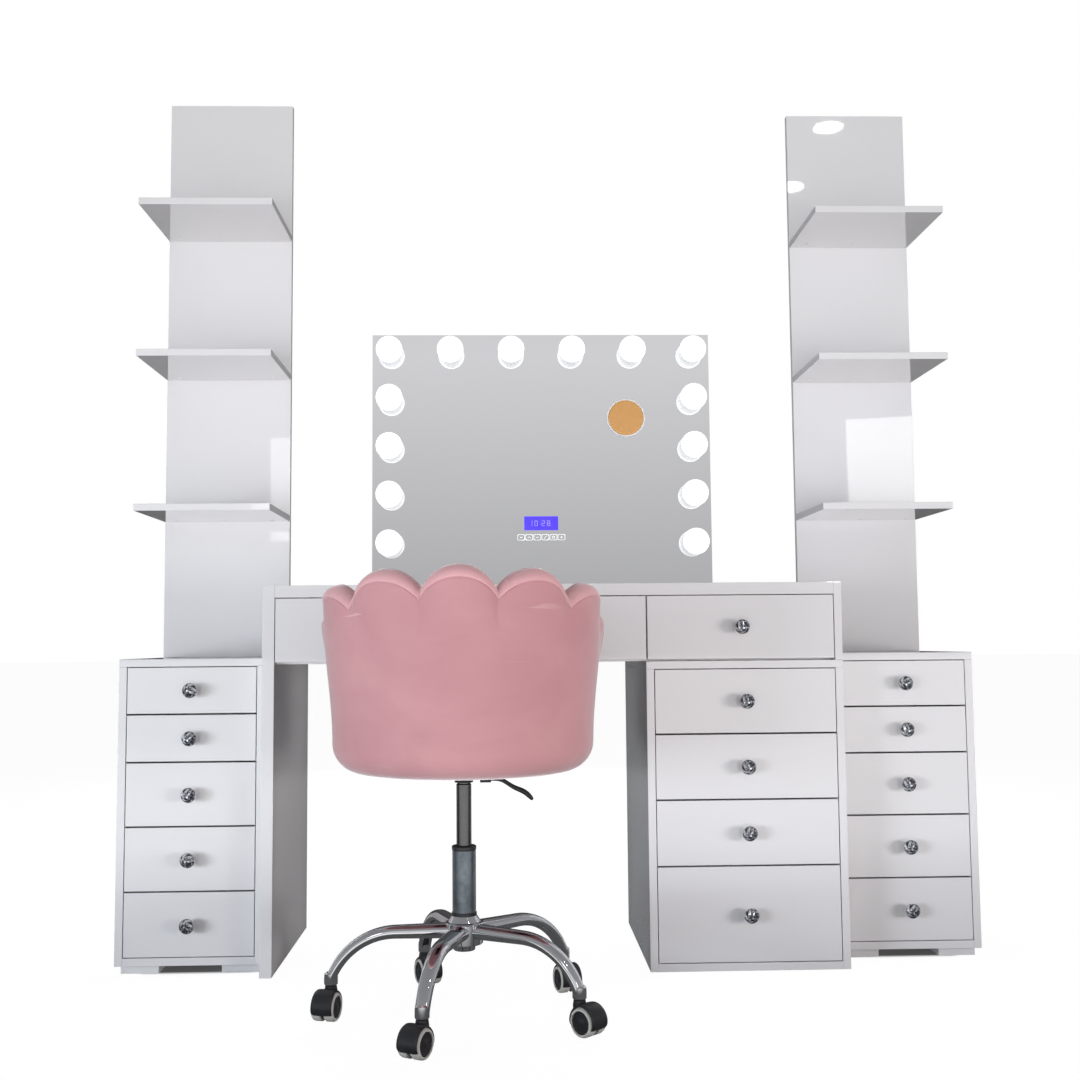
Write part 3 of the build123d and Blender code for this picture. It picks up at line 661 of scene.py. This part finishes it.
def magnifier():
    """White plastic rim with a domed tan lens."""
    lo, hi = solids("magnifier")[0]
    place = facing((lo.x + hi.x) / 2, hi.y - 0.0002, (lo.z + hi.z) / 2)
    r, t = (hi.x - lo.x) / 2, hi.y - lo.y
    bm = bmesh.new()
    lathe(bm, [(0, 0), (r - 0.001, 0), (r, 0.001), (r, t - 0.0022), (r - 0.0008, t - 0.0006),
               (r - 0.0020, t), (r - 0.0032, t - 0.0008), (r - 0.0036, t - 0.0030),
               (0, t - 0.0030)], place, 96)
    piece("magnifier_rim", bm, "station", [WHITE_PLASTIC], ["magnifier"])
    bm = bmesh.new()
    lens_r = r - 0.0039
    lathe(bm, [(lens_r, t - 0.0032), (lens_r, t - 0.0026), (lens_r - 0.0008, t - 0.0021)]
          + [(lens_r * k, t - 0.0021 + 0.0006 * (1 - k * k)) for k in (0.9, 0.7, 0.45, 0.2)]
          + [(0, t - 0.0015)], place, 96)
    piece("magnifier_lens", bm, "station", [TAN])


def housing_screws():
    """Eight pan-head screws round the back of the mirror's housing."""
    lo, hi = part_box("mirror_housing")
    bm = bmesh.new()
    inset = 0.025
    for x in np.linspace(lo.x + inset, hi.x - inset, 4):
        for z in (lo.z + inset, hi.z - inset):
            place = facing(x, hi.y, z, -pi / 2)
            lathe(bm, [(0, -0.001), (0.0042, -0.001), (0.0042, 0.0006), (0.0030, 0.0018),
                       (0.0012, 0.0021), (0.0010, 0.0010), (0, 0.0010)], place, 20)
    piece("housing_screws", bm, "station", [RUNNER])


# ---- chair base -----------------------
axis_x, axis_y, _ = joints["seat_swivel"]["pos_m"]
CHAIR = Matrix.Translation((axis_x, axis_y, 0))
stems = [Vector(joints[f"caster_{n}_swivel"]["pos_m"]) for n in range(1, 6)]
STEM_REACH = (stems[0].xy - Vector((axis_x, axis_y))).length
HUB_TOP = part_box("star_base")[1].z
HUB_R = 0.034
ARM_Z = HUB_TOP - 0.028
ARM_STRAIGHT = 0.125
ARM_BEND = radians(70)


def arm_section(at, heading, pitch, half_w, half_h, steps=28):
    """Ring of an arm: a rounded section, flatter underneath, square to the arm's path."""
    out = Vector((cos(heading), sin(heading), 0))
    side = Vector((-sin(heading), cos(heading), 0))
    up = Vector((0, 0, 1)) * cos(pitch) + out * sin(pitch)
    ring = []
    for k in range(steps):
        a = 2 * pi * k / steps
        x = abs(cos(a)) ** 0.85 * math.copysign(half_w, cos(a))
        z = abs(sin(a)) ** 0.9 * math.copysign(half_h, sin(a))
        if z < 0:
            z *= 0.82
        ring.append(at + side * x + up * z)
    return ring


def star_base():
    """Five chromed arms that taper from the hub down to their caster sockets."""
    bm = bmesh.new()
    bend_r = (STEM_REACH - ARM_STRAIGHT) / sin(ARM_BEND)
    for stem in stems:
        heading = atan2(stem.y - axis_y, stem.x - axis_x)
        out = Vector((cos(heading), sin(heading), 0))
        rings = []
        for k in range(34):
            t = k / 33
            run = t * (ARM_STRAIGHT - 0.020 + bend_r * ARM_BEND)
            flat = min(run, ARM_STRAIGHT - 0.020)
            pitch = max(0.0, run - flat) / bend_r
            reach = 0.020 + flat + bend_r * sin(pitch)
            at = Vector((axis_x, axis_y, ARM_Z - bend_r * (1 - cos(pitch)))) + out * reach
            rings.append(arm_section(at, heading, pitch, 0.0180 - 0.0056 * t ** 0.8,
                                     0.0152 - 0.0052 * t))
        skin(bm, rings)
        place = Matrix.Translation((stem.x, stem.y, 0))
        lathe(bm, [(0.0052, 0.0582), (0.0110, 0.0582), (0.0122, 0.0594), (0.0124, 0.0700),
                   (0.0118, 0.0775), (0.0085, 0.0800), (0.0052, 0.0800), (0.0052, 0.0582)],
              place, 36)
    # radius and depth below the hub's top: a skirt up to the column, the drum, and a plug below it
    hub = ((0.0182, 0.0005), (0.0232, 0.0000), (0.0238, 0.0010), (0.0300, 0.0105),
           (HUB_R + 0.0004, 0.0120), (HUB_R + 0.0010, 0.0132), (HUB_R, 0.0146),
           (HUB_R, 0.0490), (HUB_R - 0.0012, 0.0504), (0.0215, 0.0508), (0.0205, 0.0520),
           (0.0198, 0.0606), (0.0188, 0.0618), (0.0182, 0.0618), (0.0182, 0.0005))
    lathe(bm, [(r, HUB_TOP - depth) for r, depth in hub], CHAIR, 72)
    piece("star_base_chrome", bm, "chair_base", [CHROME], ["star_base"])


def column():
    """Satin outer tube of the gas spring with its black collars, and the bright piston rod."""
    lo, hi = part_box("gas_column")
    top = hi.z
    r = (hi.x - lo.x) / 2 - 0.001
    bore = 0.0145
    bm = bmesh.new()
    lathe(bm, [(0.0178, lo.z), (0.0178, HUB_TOP), (r - 0.0008, HUB_TOP + 0.0004),
               (r, HUB_TOP + 0.0012), (r, top - 0.0085), (r - 0.0006, top - 0.0078),
               (bore, top - 0.0078), (bore, lo.z), (0.0178, lo.z)], CHAIR, 72)
    piece("column_tube", bm, "chair_base", [COLUMN], ["gas_column"])
    bm = bmesh.new()
    lathe(bm, [(bore, top - 0.0076), (bore, top - 0.0010), (bore + 0.001, top),
               (r - 0.0012, top), (r + 0.0010, top - 0.0014), (r + 0.0010, top - 0.0070),
               (r, top - 0.0076), (bore, top - 0.0076)], CHAIR, 72)
    lathe(bm, [(r + 0.0003, HUB_TOP + 0.0004), (r + 0.0016, HUB_TOP + 0.0006),
               (r + 0.0014, HUB_TOP + 0.0052), (r + 0.0003, HUB_TOP + 0.0060),
               (r + 0.0003, HUB_TOP + 0.0004)], CHAIR, 72)
    piece("column_collars", bm, "chair_base", [BLACK])
    lo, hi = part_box("gas_piston")
    rod = (hi.x - lo.x) / 2 - 0.0002
    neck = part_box("seat_plate")[0].z - 0.004
    bm = bmesh.new()
    lathe(bm, [(0, lo.z), (rod - 0.001, lo.z), (rod, lo.z + 0.001), (rod, neck),
               (rod - 0.0015, neck + 0.002), (rod - 0.0015, hi.z), (0, hi.z)], CHAIR, 64)
    piece("piston_rod", bm, "gas_lift_rod", [PISTON], ["gas_piston"])


# ---- casters --------------------------
def caster(number):
    """Arched twin-wheel caster: hood with its stem, and two tyred wheels on an axle."""
    stem = Vector(joints[f"caster_{number}_swivel"]["pos_m"])
    axle = Vector(joints[f"caster_{number}_roll"]["pos_m"])
    heading = atan2(axle.y - stem.y, axle.x - stem.x)
    place = (Matrix.Translation((axle.x, axle.y, axle.z))
             @ Matrix.Rotation(heading, 4, "Z"))
    hood_r, hood_in, half_w = 0.0290, 0.0263, 0.0196
    bm = bmesh.new()
    start, end, steps = radians(-24), radians(200), 34
    rings = []
    for k in range(steps + 1):
        a = start + (end - start) * k / steps
        tuck = 0.0035 * (max(0.0, abs(2 * k / steps - 1) - 0.8) / 0.2) ** 2
        section = [(hood_in, -half_w), (hood_r - 0.0024, -half_w),
                   (hood_r - 0.0006, -half_w + 0.0022), (hood_r, -half_w + 0.006),
                   (hood_r + 0.0004, 0), (hood_r, half_w - 0.006),
                   (hood_r - 0.0006, half_w - 0.0022), (hood_r - 0.0024, half_w),
                   (hood_in, half_w)]
        rings.append([place @ Vector(((r - tuck) * cos(a), y, (r - tuck) * sin(a)))
                      for r, y in section])
    skin(bm, rings)
    around = np.linspace(0, 2 * pi, 61)[:-1]
    web_r, web_half, web_floor = hood_in + 0.0005, 0.0024, -0.0098
    edge = [min(web_r, web_floor / sin(a)) if sin(a) < 0 else web_r for a in around]
    skin(bm, [[place @ Vector((r * cos(a), y, r * sin(a))) for r, a in zip(radii, around)]
              for radii, y in ((edge, -web_half), (edge, web_half), ([0.0032] * 60, web_half),
                               ([0.0032] * 60, -web_half))], looped=True)
    tower = Matrix.Translation((stem.x, stem.y, 0))
    lathe(bm, [(0.0060, 0.0400), (0.0112, 0.0400), (0.0118, 0.0480), (0.0104, 0.0566),
               (0.0096, 0.0574), (0.0049, 0.0574), (0.0049, 0.0780), (0.0040, 0.0786),
               (0, 0.0786)], tower, 36)
    piece(f"caster_{number}_cover", bm, f"caster_{number}_fork", [BLACK],
          [f"caster_{number}_hood"])
    bm = bmesh.new()
    lo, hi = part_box(f"caster_{number}_wheels")
    r = (hi.z - lo.z) / 2
    for side in (1, -1):
        wheel = place @ Matrix.Rotation(-side * pi / 2, 4, "X")
        near, far = 0.0033, 0.0213
        lathe(bm, [(r - 0.0046, near), (r - 0.0012, near), (r, near + 0.0015),
                   (r, far - 0.0050), (r - 0.0010, far - 0.0018), (r - 0.0030, far),
                   (r - 0.0052, far - 0.0002), (r - 0.0056, far - 0.0014),
                   (r - 0.0056, near + 0.002), (r - 0.0046, near)], wheel, 56, material=1)
        lathe(bm, [(0.0030, near), (r - 0.0058, near), (r - 0.0058, far - 0.0022),
                   (r - 0.0066, far - 0.0014), (r - 0.0080, far - 0.0016),
                   (r - 0.0100, far - 0.0024), (0.0060, far - 0.0022), (0.0045, far - 0.0012),
                   (0, far - 0.0010)], wheel, 56, material=0)
        lathe(bm, [(0, 0.0), (0.0029, 0.0), (0.0029, near + 0.001), (0, near + 0.001)],
              wheel, 20, material=2)
    piece(f"caster_{number}_twin_wheels", bm, f"caster_{number}_wheelset",
          [BLACK, TYRE, RUNNER], [f"caster_{number}_wheels"])


# ---- height lever ---------------------
def lever():
    """Black lever: a rod with a gentle wave that swells into a flat paddle."""
    pin = Vector(joints["lever_lift"]["pos_m"])
    # reach from the pin, drop, half width, half thickness
    stations = ((0.000, 0.000, 0.0042, 0.0042), (0.020, -0.0004, 0.0040, 0.0040),
                (0.030, -0.0035, 0.0041, 0.0038), (0.040, -0.0100, 0.0046, 0.0038),
                (0.050, -0.0165, 0.0058, 0.0042), (0.060, -0.0205, 0.0070, 0.0046),
                (0.069, -0.0245, 0.0078, 0.0048), (0.077, -0.0310, 0.0080, 0.0046),
                (0.0825, -0.0370, 0.0068, 0.0036), (0.0845, -0.0395, 0.0040, 0.0020))
    control = np.array(stations)
    t = np.linspace(0, len(stations) - 1, 60)
    smooth = np.array([np.interp(t, range(len(stations)), control[:, c]) for c in range(4)]).T
    kernel = np.ones(7) / 7
    for c in range(4):
        padded = np.concatenate([np.repeat(smooth[0, c], 3), smooth[:, c],
                                 np.repeat(smooth[-1, c], 3)])
        smooth[:, c] = np.convolve(padded, kernel, "valid")
    bm = bmesh.new()
    rings = []
    for k in range(len(smooth)):
        ahead, behind = smooth[min(k + 1, 59)], smooth[max(k - 1, 0)]
        slope = atan2(ahead[1] - behind[1], ahead[0] - behind[0])
        reach, drop, half_w, half_t = smooth[k]
        at = pin + Vector((reach, 0, drop))
        up = Vector((-sin(slope), 0, cos(slope)))
        rings.append([at + up * (half_t * sin(a)) + Vector((0, half_w * cos(a), 0))
                      for a in np.linspace(0, 2 * pi, 25)[:-1]])
    skin(bm, rings)
    barrel = facing(*pin)
    lathe(bm, [(0, -0.0085), (0.0045, -0.0085), (0.0050, -0.0080), (0.0050, 0.0080),
               (0.0045, 0.0085), (0, 0.0085)], barrel, 32)
    lathe(bm, [(0, -0.014), (0.0016, -0.014), (0.0020, -0.0136), (0.0020, 0.0136),
               (0.0016, 0.014), (0, 0.014)], barrel, 24)
    piece("lever_paddle", bm, "height_lever", [BLACK], ["lever"])


# ---- seat shell -----------------------
# Petals from the middle outwards: direction, half width, top, arc radius.
PETALS = ((0.0, radians(14.75), 0.802, 0.076), (radians(31.0), radians(16.25), 0.796, 0.088),
          (radians(63.75), radians(16.5), 0.774, 0.097),
          (radians(96.75), radians(16.5), 0.734, 0.097))
BOWL_TOP = 0.503  # the wall's height at the seat's open front
SHELL_FLOOR = 0.4585
WALL_FOOT = 0.490  # where the wall's outside rises from its corner
OUTER_R = 0.239  # the wall's outside and inside at its foot
INNER_R = 0.2005
SHELL_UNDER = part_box("seat_shell")[0].z + 0.0007
COLUMNS = 900


def smoothstep(x):
    x = np.clip(x, 0, 1)
    return x * x * (3 - 2 * x)


def rim_height(phi):
    """Height of the shell's top edge. phi is the angle from the middle of the back."""
    radius = 0.247
    height = np.full_like(phi, BOWL_TOP)
    petals = np.full_like(phi, -1.0)
    for direction, half, peak, arc_r in PETALS:
        off = np.abs(np.abs(phi) - direction)
        across = radius * np.sin(np.minimum(off, pi / 2))
        arc = peak - arc_r + np.sqrt(np.maximum(arc_r ** 2 - across ** 2, 0))
        petals = np.where(off < half * 1.45, np.maximum(petals, arc), petals)
    slope = 0.787 - 1.6735 * (0.040 - 0.237 * np.cos(phi))
    soft = 0.010
    both = -soft * np.logaddexp(-petals / soft, -slope / soft)
    both = np.where(np.abs(phi) > radians(118), np.minimum(slope, 0.55), both)
    return np.maximum(height, soft * np.logaddexp(both / soft, height / soft))


def petal_phase(phi):
    """0 in the middle of a petal and 1 in the valley between two."""
    turns = []
    for direction, half, _, _ in PETALS:
        turns += [direction, direction + half]
    return np.interp(np.abs(phi), turns, (0, 1) * len(PETALS))


def outer_radius(z):
    return OUTER_R + 0.018 * smoothstep((z - WALL_FOOT) / 0.240)


def inner_radius(z):
    return INNER_R + 0.0165 * smoothstep((z - 0.500) / 0.220)


def shell_rows(phi):
    """Radius, height, crest share and puff share of each row of the shell, from the middle of the
    underside, up the outside, over the rim and down inside to the middle of the bowl."""
    height = rim_height(phi)
    valley = petal_phase(phi) ** 2.4 * smoothstep((radians(122) - np.abs(phi)) / radians(10))
    crown = np.clip((height - 0.487) / 2, 0.008, 0.019)
    tall = smoothstep((height - 0.52) / 0.15)
    base = height - crown
    rows = []
    for r in (0.0, 0.06, 0.11, 0.150, 0.172):
        rows.append((r, SHELL_UNDER, 0, 0, 0))
    corner = WALL_FOOT - SHELL_UNDER
    for k in range(11):
        a = k / 10 * pi / 2
        rows.append((OUTER_R - corner * (1 - sin(a)), SHELL_UNDER + corner * (1 - cos(a)),
                     0, 0, 0))
    shares = (0.98, 0.94, 0.87, 0.79, 0.70, 0.61, 0.52, 0.44, 0.37, 0.31, 0.26, 0.215, 0.175, 0.14,
              0.11, 0.086, 0.066, 0.048, 0.034, 0.024, 0.018, 0.014, 0.010, 0.006, 0.0)
    for share in shares:
        z = base - (base - WALL_FOOT) * share
        seam = math.exp(-((share - 0.014) / 0.0045) ** 2)
        puff = max(0.0, 1 - share / 0.30) ** 1.7
        crest = smoothstep((0.022 - share) / 0.014)
        rows.append((outer_radius(z), z, crest * tall, puff * tall, seam * tall))
    for k in range(1, 14):
        a = k / 14 * pi
        outer, inner = outer_radius(base), inner_radius(base)
        middle, half = (outer + inner) / 2, (outer - inner) / 2
        rows.append((middle + half * cos(a), base + crown * sin(a), tall, tall * abs(cos(a)), 0))
    for share in (0.0, 0.03, 0.06, 0.09, 0.12, 0.16, 0.21, 0.27, 0.34, 0.42, 0.51, 0.61, 0.72,
                  0.83, 0.92, 1.0):
        z = base - (base - 0.4700) * share
        seam = math.exp(-((share - 0.09) / 0.008) ** 2)
        crest = max(0.0, 1 - share / 0.1)
        rows.append((inner_radius(z), z, crest * tall, -(1 - share * 0.75) * tall,
                     -seam * tall))
    for r in (0.199, 0.196, 0.190, 0.150, 0.075, 0.0):
        rows.append((r, SHELL_FLOOR + 0.0145 * max(0.0, (r - 0.188) / 0.0125) ** 1.5,
                     0, 0, 0))
    return rows, valley


def seat_shell():
    """Velvet-covered bowl with a scalloped back: puffed petals, rolled crest and gathers."""
    phi = np.linspace(-pi, pi, COLUMNS, endpoint=False)
    rows, valley = shell_rows(phi)
    gather = np.sin(phi * 250) * 0.6 + np.sin(phi * 377 + 1.3) * 0.4
    bm = bmesh.new()
    # crest share on each point, read by the velvet as its painted highlight
    crest_highlight_layer = bm.verts.layers.float.new("crest")
    rings, shades = [], []
    for row in rows:
        radius, z, crest, puff, seam = (value + 0 * phi for value in row)
        swell = 0.0070 * puff * (1 - 1.7 * valley)
        folds = 0.0006 * gather * crest * smoothstep(petal_phase(phi) * 1.6 - 0.35)
        r = radius + swell - 0.0016 * seam + folds * np.sign(puff + 1e-9)
        if float(np.max(radius)) < 1e-6:
            rings.append([(axis_x, axis_y, float(z[0]))])
            shades.append([0.0])
            continue
        z = z + folds - 0.004 * valley * crest
        rings.append([(axis_x + r[i] * sin(phi[i]), axis_y - r[i] * cos(phi[i]), z[i])
                      for i in range(COLUMNS)])
        shades.append(list(crest))
    grid = skin(bm, rings, capped=False)
    for ring, shade in zip(grid, shades):
        for vert, value in zip(ring, shade):
            vert[crest_highlight_layer] = value
    shell = piece("velvet_shell", bm, "seat", [VELVET], ["seat_shell"], smooth=80)


# ---- seat cushion ---------------------
# Section of a crowned round pad with a piped seam round its edge: radius and height.
CUSHION = [(0, 0.4592), (0.120, 0.4592), (0.175, 0.4605), (0.190, 0.4665), (0.1955, 0.4750),
           (0.1965, 0.4830), (0.1950, 0.4905), (0.1900, 0.4965), (0.180, 0.5010),
           (0.160, 0.5050), (0.130, 0.5078), (0.095, 0.5094), (0.060, 0.5102),
           (0.030, 0.5105), (0, 0.5106)]


def simulate(obj, cap, pinned):
    """Puffs a padded piece with cloth pressure. Pinned points hold; none moves past cap."""
    rest = np.array([v.co for v in obj.data.vertices], float)
    group = obj.vertex_groups.new(name="held")
    for index, weight in pinned(rest):
        group.add([index], weight, "REPLACE")
    cloth = obj.modifiers.new("puff", "CLOTH")
    settings = cloth.settings
    settings.quality = 5
    settings.mass = 0.3
    settings.tension_stiffness = settings.compression_stiffness = 12
    settings.shear_stiffness = 8
    settings.bending_stiffness = 1.2
    settings.use_pressure = True
    settings.uniform_pressure_force = 4.0
    settings.effector_weights.gravity = 0
    settings.vertex_group_mass = "held"
    cloth.collision_settings.use_collision = False
    for number in range(1, 21):
        scene.frame_set(number)
    graph = bpy.context.evaluated_depsgraph_get()
    moved = np.array([v.co for v in obj.evaluated_get(graph).data.vertices], float)
    shift = moved - rest
    length = np.linalg.norm(shift, axis=1, keepdims=True)
    shift *= np.minimum(1.0, cap / np.maximum(length, 1e-9))
    obj.modifiers.remove(cloth)
    scene.frame_set(1)
    obj.data.vertices.foreach_set("co", (rest + shift).astype(np.float32).ravel())
    obj.data.update()


def seat_cushion():
    """Round velvet cushion, puffed by cloth pressure while its floor and its edge hold."""
    bm = bmesh.new()
    lathe(bm, CUSHION, CHAIR, 120)
    pad = piece("velvet_cushion", bm, "seat", [VELVET], ["seat_cushion"], smooth=80)
    remesh = pad.modifiers.new("even", "REMESH")
    remesh.mode = "VOXEL"
    remesh.voxel_size = 0.005
    graph = bpy.context.evaluated_depsgraph_get()
    even = bpy.data.meshes.new_from_object(pad.evaluated_get(graph))
    pad.modifiers.clear()
    pad.data = even
    def edge_and_floor(points):
        for i, p in enumerate(points):
            out = math.hypot(p[0] - axis_x, p[1] - axis_y)
            if p[2] < 0.465 or (out > 0.186 and p[2] < 0.495):
                yield i, 1.0
    simulate(pad, 0.010, edge_and_floor)
    smooth = pad.modifiers.new("smooth", "SUBSURF")
    smooth.levels = smooth.render_levels = 1
    for polygon in pad.data.polygons:
        polygon.use_smooth = True


# ---- studio ---------------------------
FLOOR_Z = -0.0005  # just under the casters
WHITE_LIGHT = (1.0, 1.0, 1.0)
# Height on the sky, 0 at the horizon, and its grey.
SKY_GREYS = ((0.0, 0.50), (0.035, 0.53), (0.22, 0.80), (0.5, 0.62), (1.0, 0.5))
# Lights that reflections don't show: name, place, aim, size, watts, colour, spread in degrees.
SOFT_LIGHTS = (
    ("overhead", (0.0, 0.9, 3.6), (0.0, 0.9, 0.0), (3.6, 1.6), 42.0, WHITE_LIGHT, 180),
    ("front_fill", (-1.6, -4.2, 1.7), (-0.9, 0.2, 1.25), (2.4, 1.8), 0.9, (0.55, 0.82, 1.0), 50),
    ("left_fill", (-3.4, -2.3, 0.45), (0.1, 0.1, 0.15), (2.0, 0.9), 13.0, (0.86, 0.94, 1.0), 60),
    ("right_fill", (3.3, -2.1, 0.45), (-0.5, 0.1, 0.2), (1.2, 0.8), 8.0, (1.0, 0.97, 0.97), 60),
    ("back_fill", (0.0, 4.2, 1.5), (0.0, 0.3, 0.9), (3.0, 2.0), 48.0, WHITE_LIGHT, 180),
)


def area_light(name, at, aim, size, power, colour=WHITE_LIGHT):
    light = bpy.data.lights.new(name, "AREA")
    light.shape = "RECTANGLE"
    light.size, light.size_y = size
    light.energy = power
    light.color = colour
    obj = add_object(name, light)
    obj.location = at
    obj.rotation_mode = "QUATERNION"
    obj.rotation_quaternion = (Vector(aim) - Vector(at)).to_track_quat("-Z", "Y")
    obj.visible_camera = False
    return obj


def studio():
    """White surroundings for the camera, a soft gradient for reflections, floor and lights."""
    world = bpy.data.worlds.new("studio")
    scene.world = world
    world.use_nodes = True
    world.node_tree.nodes.clear()
    sky = Nodes(world.node_tree, "Generated")
    ray = sky.node("ShaderNodeLightPath").outputs
    place = sky.node("ShaderNodeSeparateXYZ", Vector=sky.space).outputs
    rise = sky.ramp(place["Z"], *((at, (grey, grey, grey * 1.02)) for at, grey in SKY_GREYS))
    front = sky.spread(place["Y"], 1.0, 0.06, -0.93, -0.76)
    side = sky.spread(place["Y"], 0.50, 0.10, 0.3, 0.8)
    shine = sky.maths("MULTIPLY", ray["Is Glossy Ray"], side)
    lit = sky.node("ShaderNodeBackground", Color=rise, Strength=sky.maths("MAXIMUM", front, shine))
    seen = sky.node("ShaderNodeBackground", Color=(1, 1, 1, 1), Strength=1.0)
    mix = sky.node("ShaderNodeMixShader", Fac=ray["Is Camera Ray"])
    sky.links.new(lit.outputs[0], mix.inputs[1])
    sky.links.new(seen.outputs[0], mix.inputs[2])
    sky.node("ShaderNodeOutputWorld", Surface=mix.outputs[0])

    bm = bmesh.new()
    rings = [[(0.0, 0.0, FLOOR_Z)]] + [circle(r, FLOOR_Z, 64) for r in (1.0, 3.0, 8.0, 24.0, 60.0)]
    skin(bm, rings, capped=False)
    add_object("floor", mesh_of("floor", bm, [paper_floor()]))

    for name, at, power in (("ceiling_lamp_near", (1.313, -2.52, 2.888), 3),
                            ("ceiling_lamp_far", (1.324, -1.82, 2.898), 2)):
        lamp = area_light(name, at, (at[0], at[1], 0.0), (0.125, 0.125), power,
                          (1.0, 0.98, 0.95))
        lamp.data.shape = "DISK"
    for name, at, aim, size, power, colour, spread in SOFT_LIGHTS:
        light = area_light(name, at, aim, size, power, colour)
        light.visible_glossy = False
        light.data.spread = radians(spread)
    area_light("right_window", (2.06, -3.5, 1.655), (0.76, 0.47, 1.12), (0.45, 0.52), 2.6)
    area_light("left_window", (-1.13, -3.5, 1.51), (-0.62, 0.42, 1.03), (0.47, 0.56), 2.0)


def camera():
    made = bpy.data.cameras.new("photo_angle")
    made.lens = CAMERA_LENS
    made.sensor_width = 36
    obj = add_object("photo_angle", made)
    turn = (Matrix.Rotation(-CAMERA_YAW, 4, "Z") @ Matrix.Rotation(pi / 2 + CAMERA_PITCH, 4, "X")
            @ Matrix.Rotation(CAMERA_ROLL, 4, "Z"))
    obj.matrix_world = Matrix.Translation(CAMERA_AT) @ turn
    scene.camera = obj


# ---- everything -----------------------
for piece_name, cad_node in (("desk_boards", "desk_carcass"),
                             ("pedestal_boards", "pedestal_carcass"),
                             ("side_cabinet_boards", "side_cabinet_carcasses"),
                             ("tower_uprights", "tower_panels"), ("shelf_boards", "tower_shelves")):
    boards_piece(piece_name, solids(cad_node), [cad_node])
shelf_screws()
paint("drawer_rails", RUNNER)
for drawer_name in [n[:-len("_knob")] for n in frame["nodes"] if n.endswith("_knob")]:
    drawer(drawer_name)
    knobs(drawer_name)
paint("mirror_glass", SILVER)
paint("mirror_housing", HOUSING)
paint("mirror_electronics", CIRCUIT)
bulbs()
touch_panel()
magnifier()
housing_screws()
star_base()
column()
for caster_number in range(1, 6):
    caster(caster_number)
paint("seat_plate", BLACK_STEEL)
lever()
seat_shell()
seat_cushion()
studio()
camera()
scene.view_settings.view_transform = "Standard"
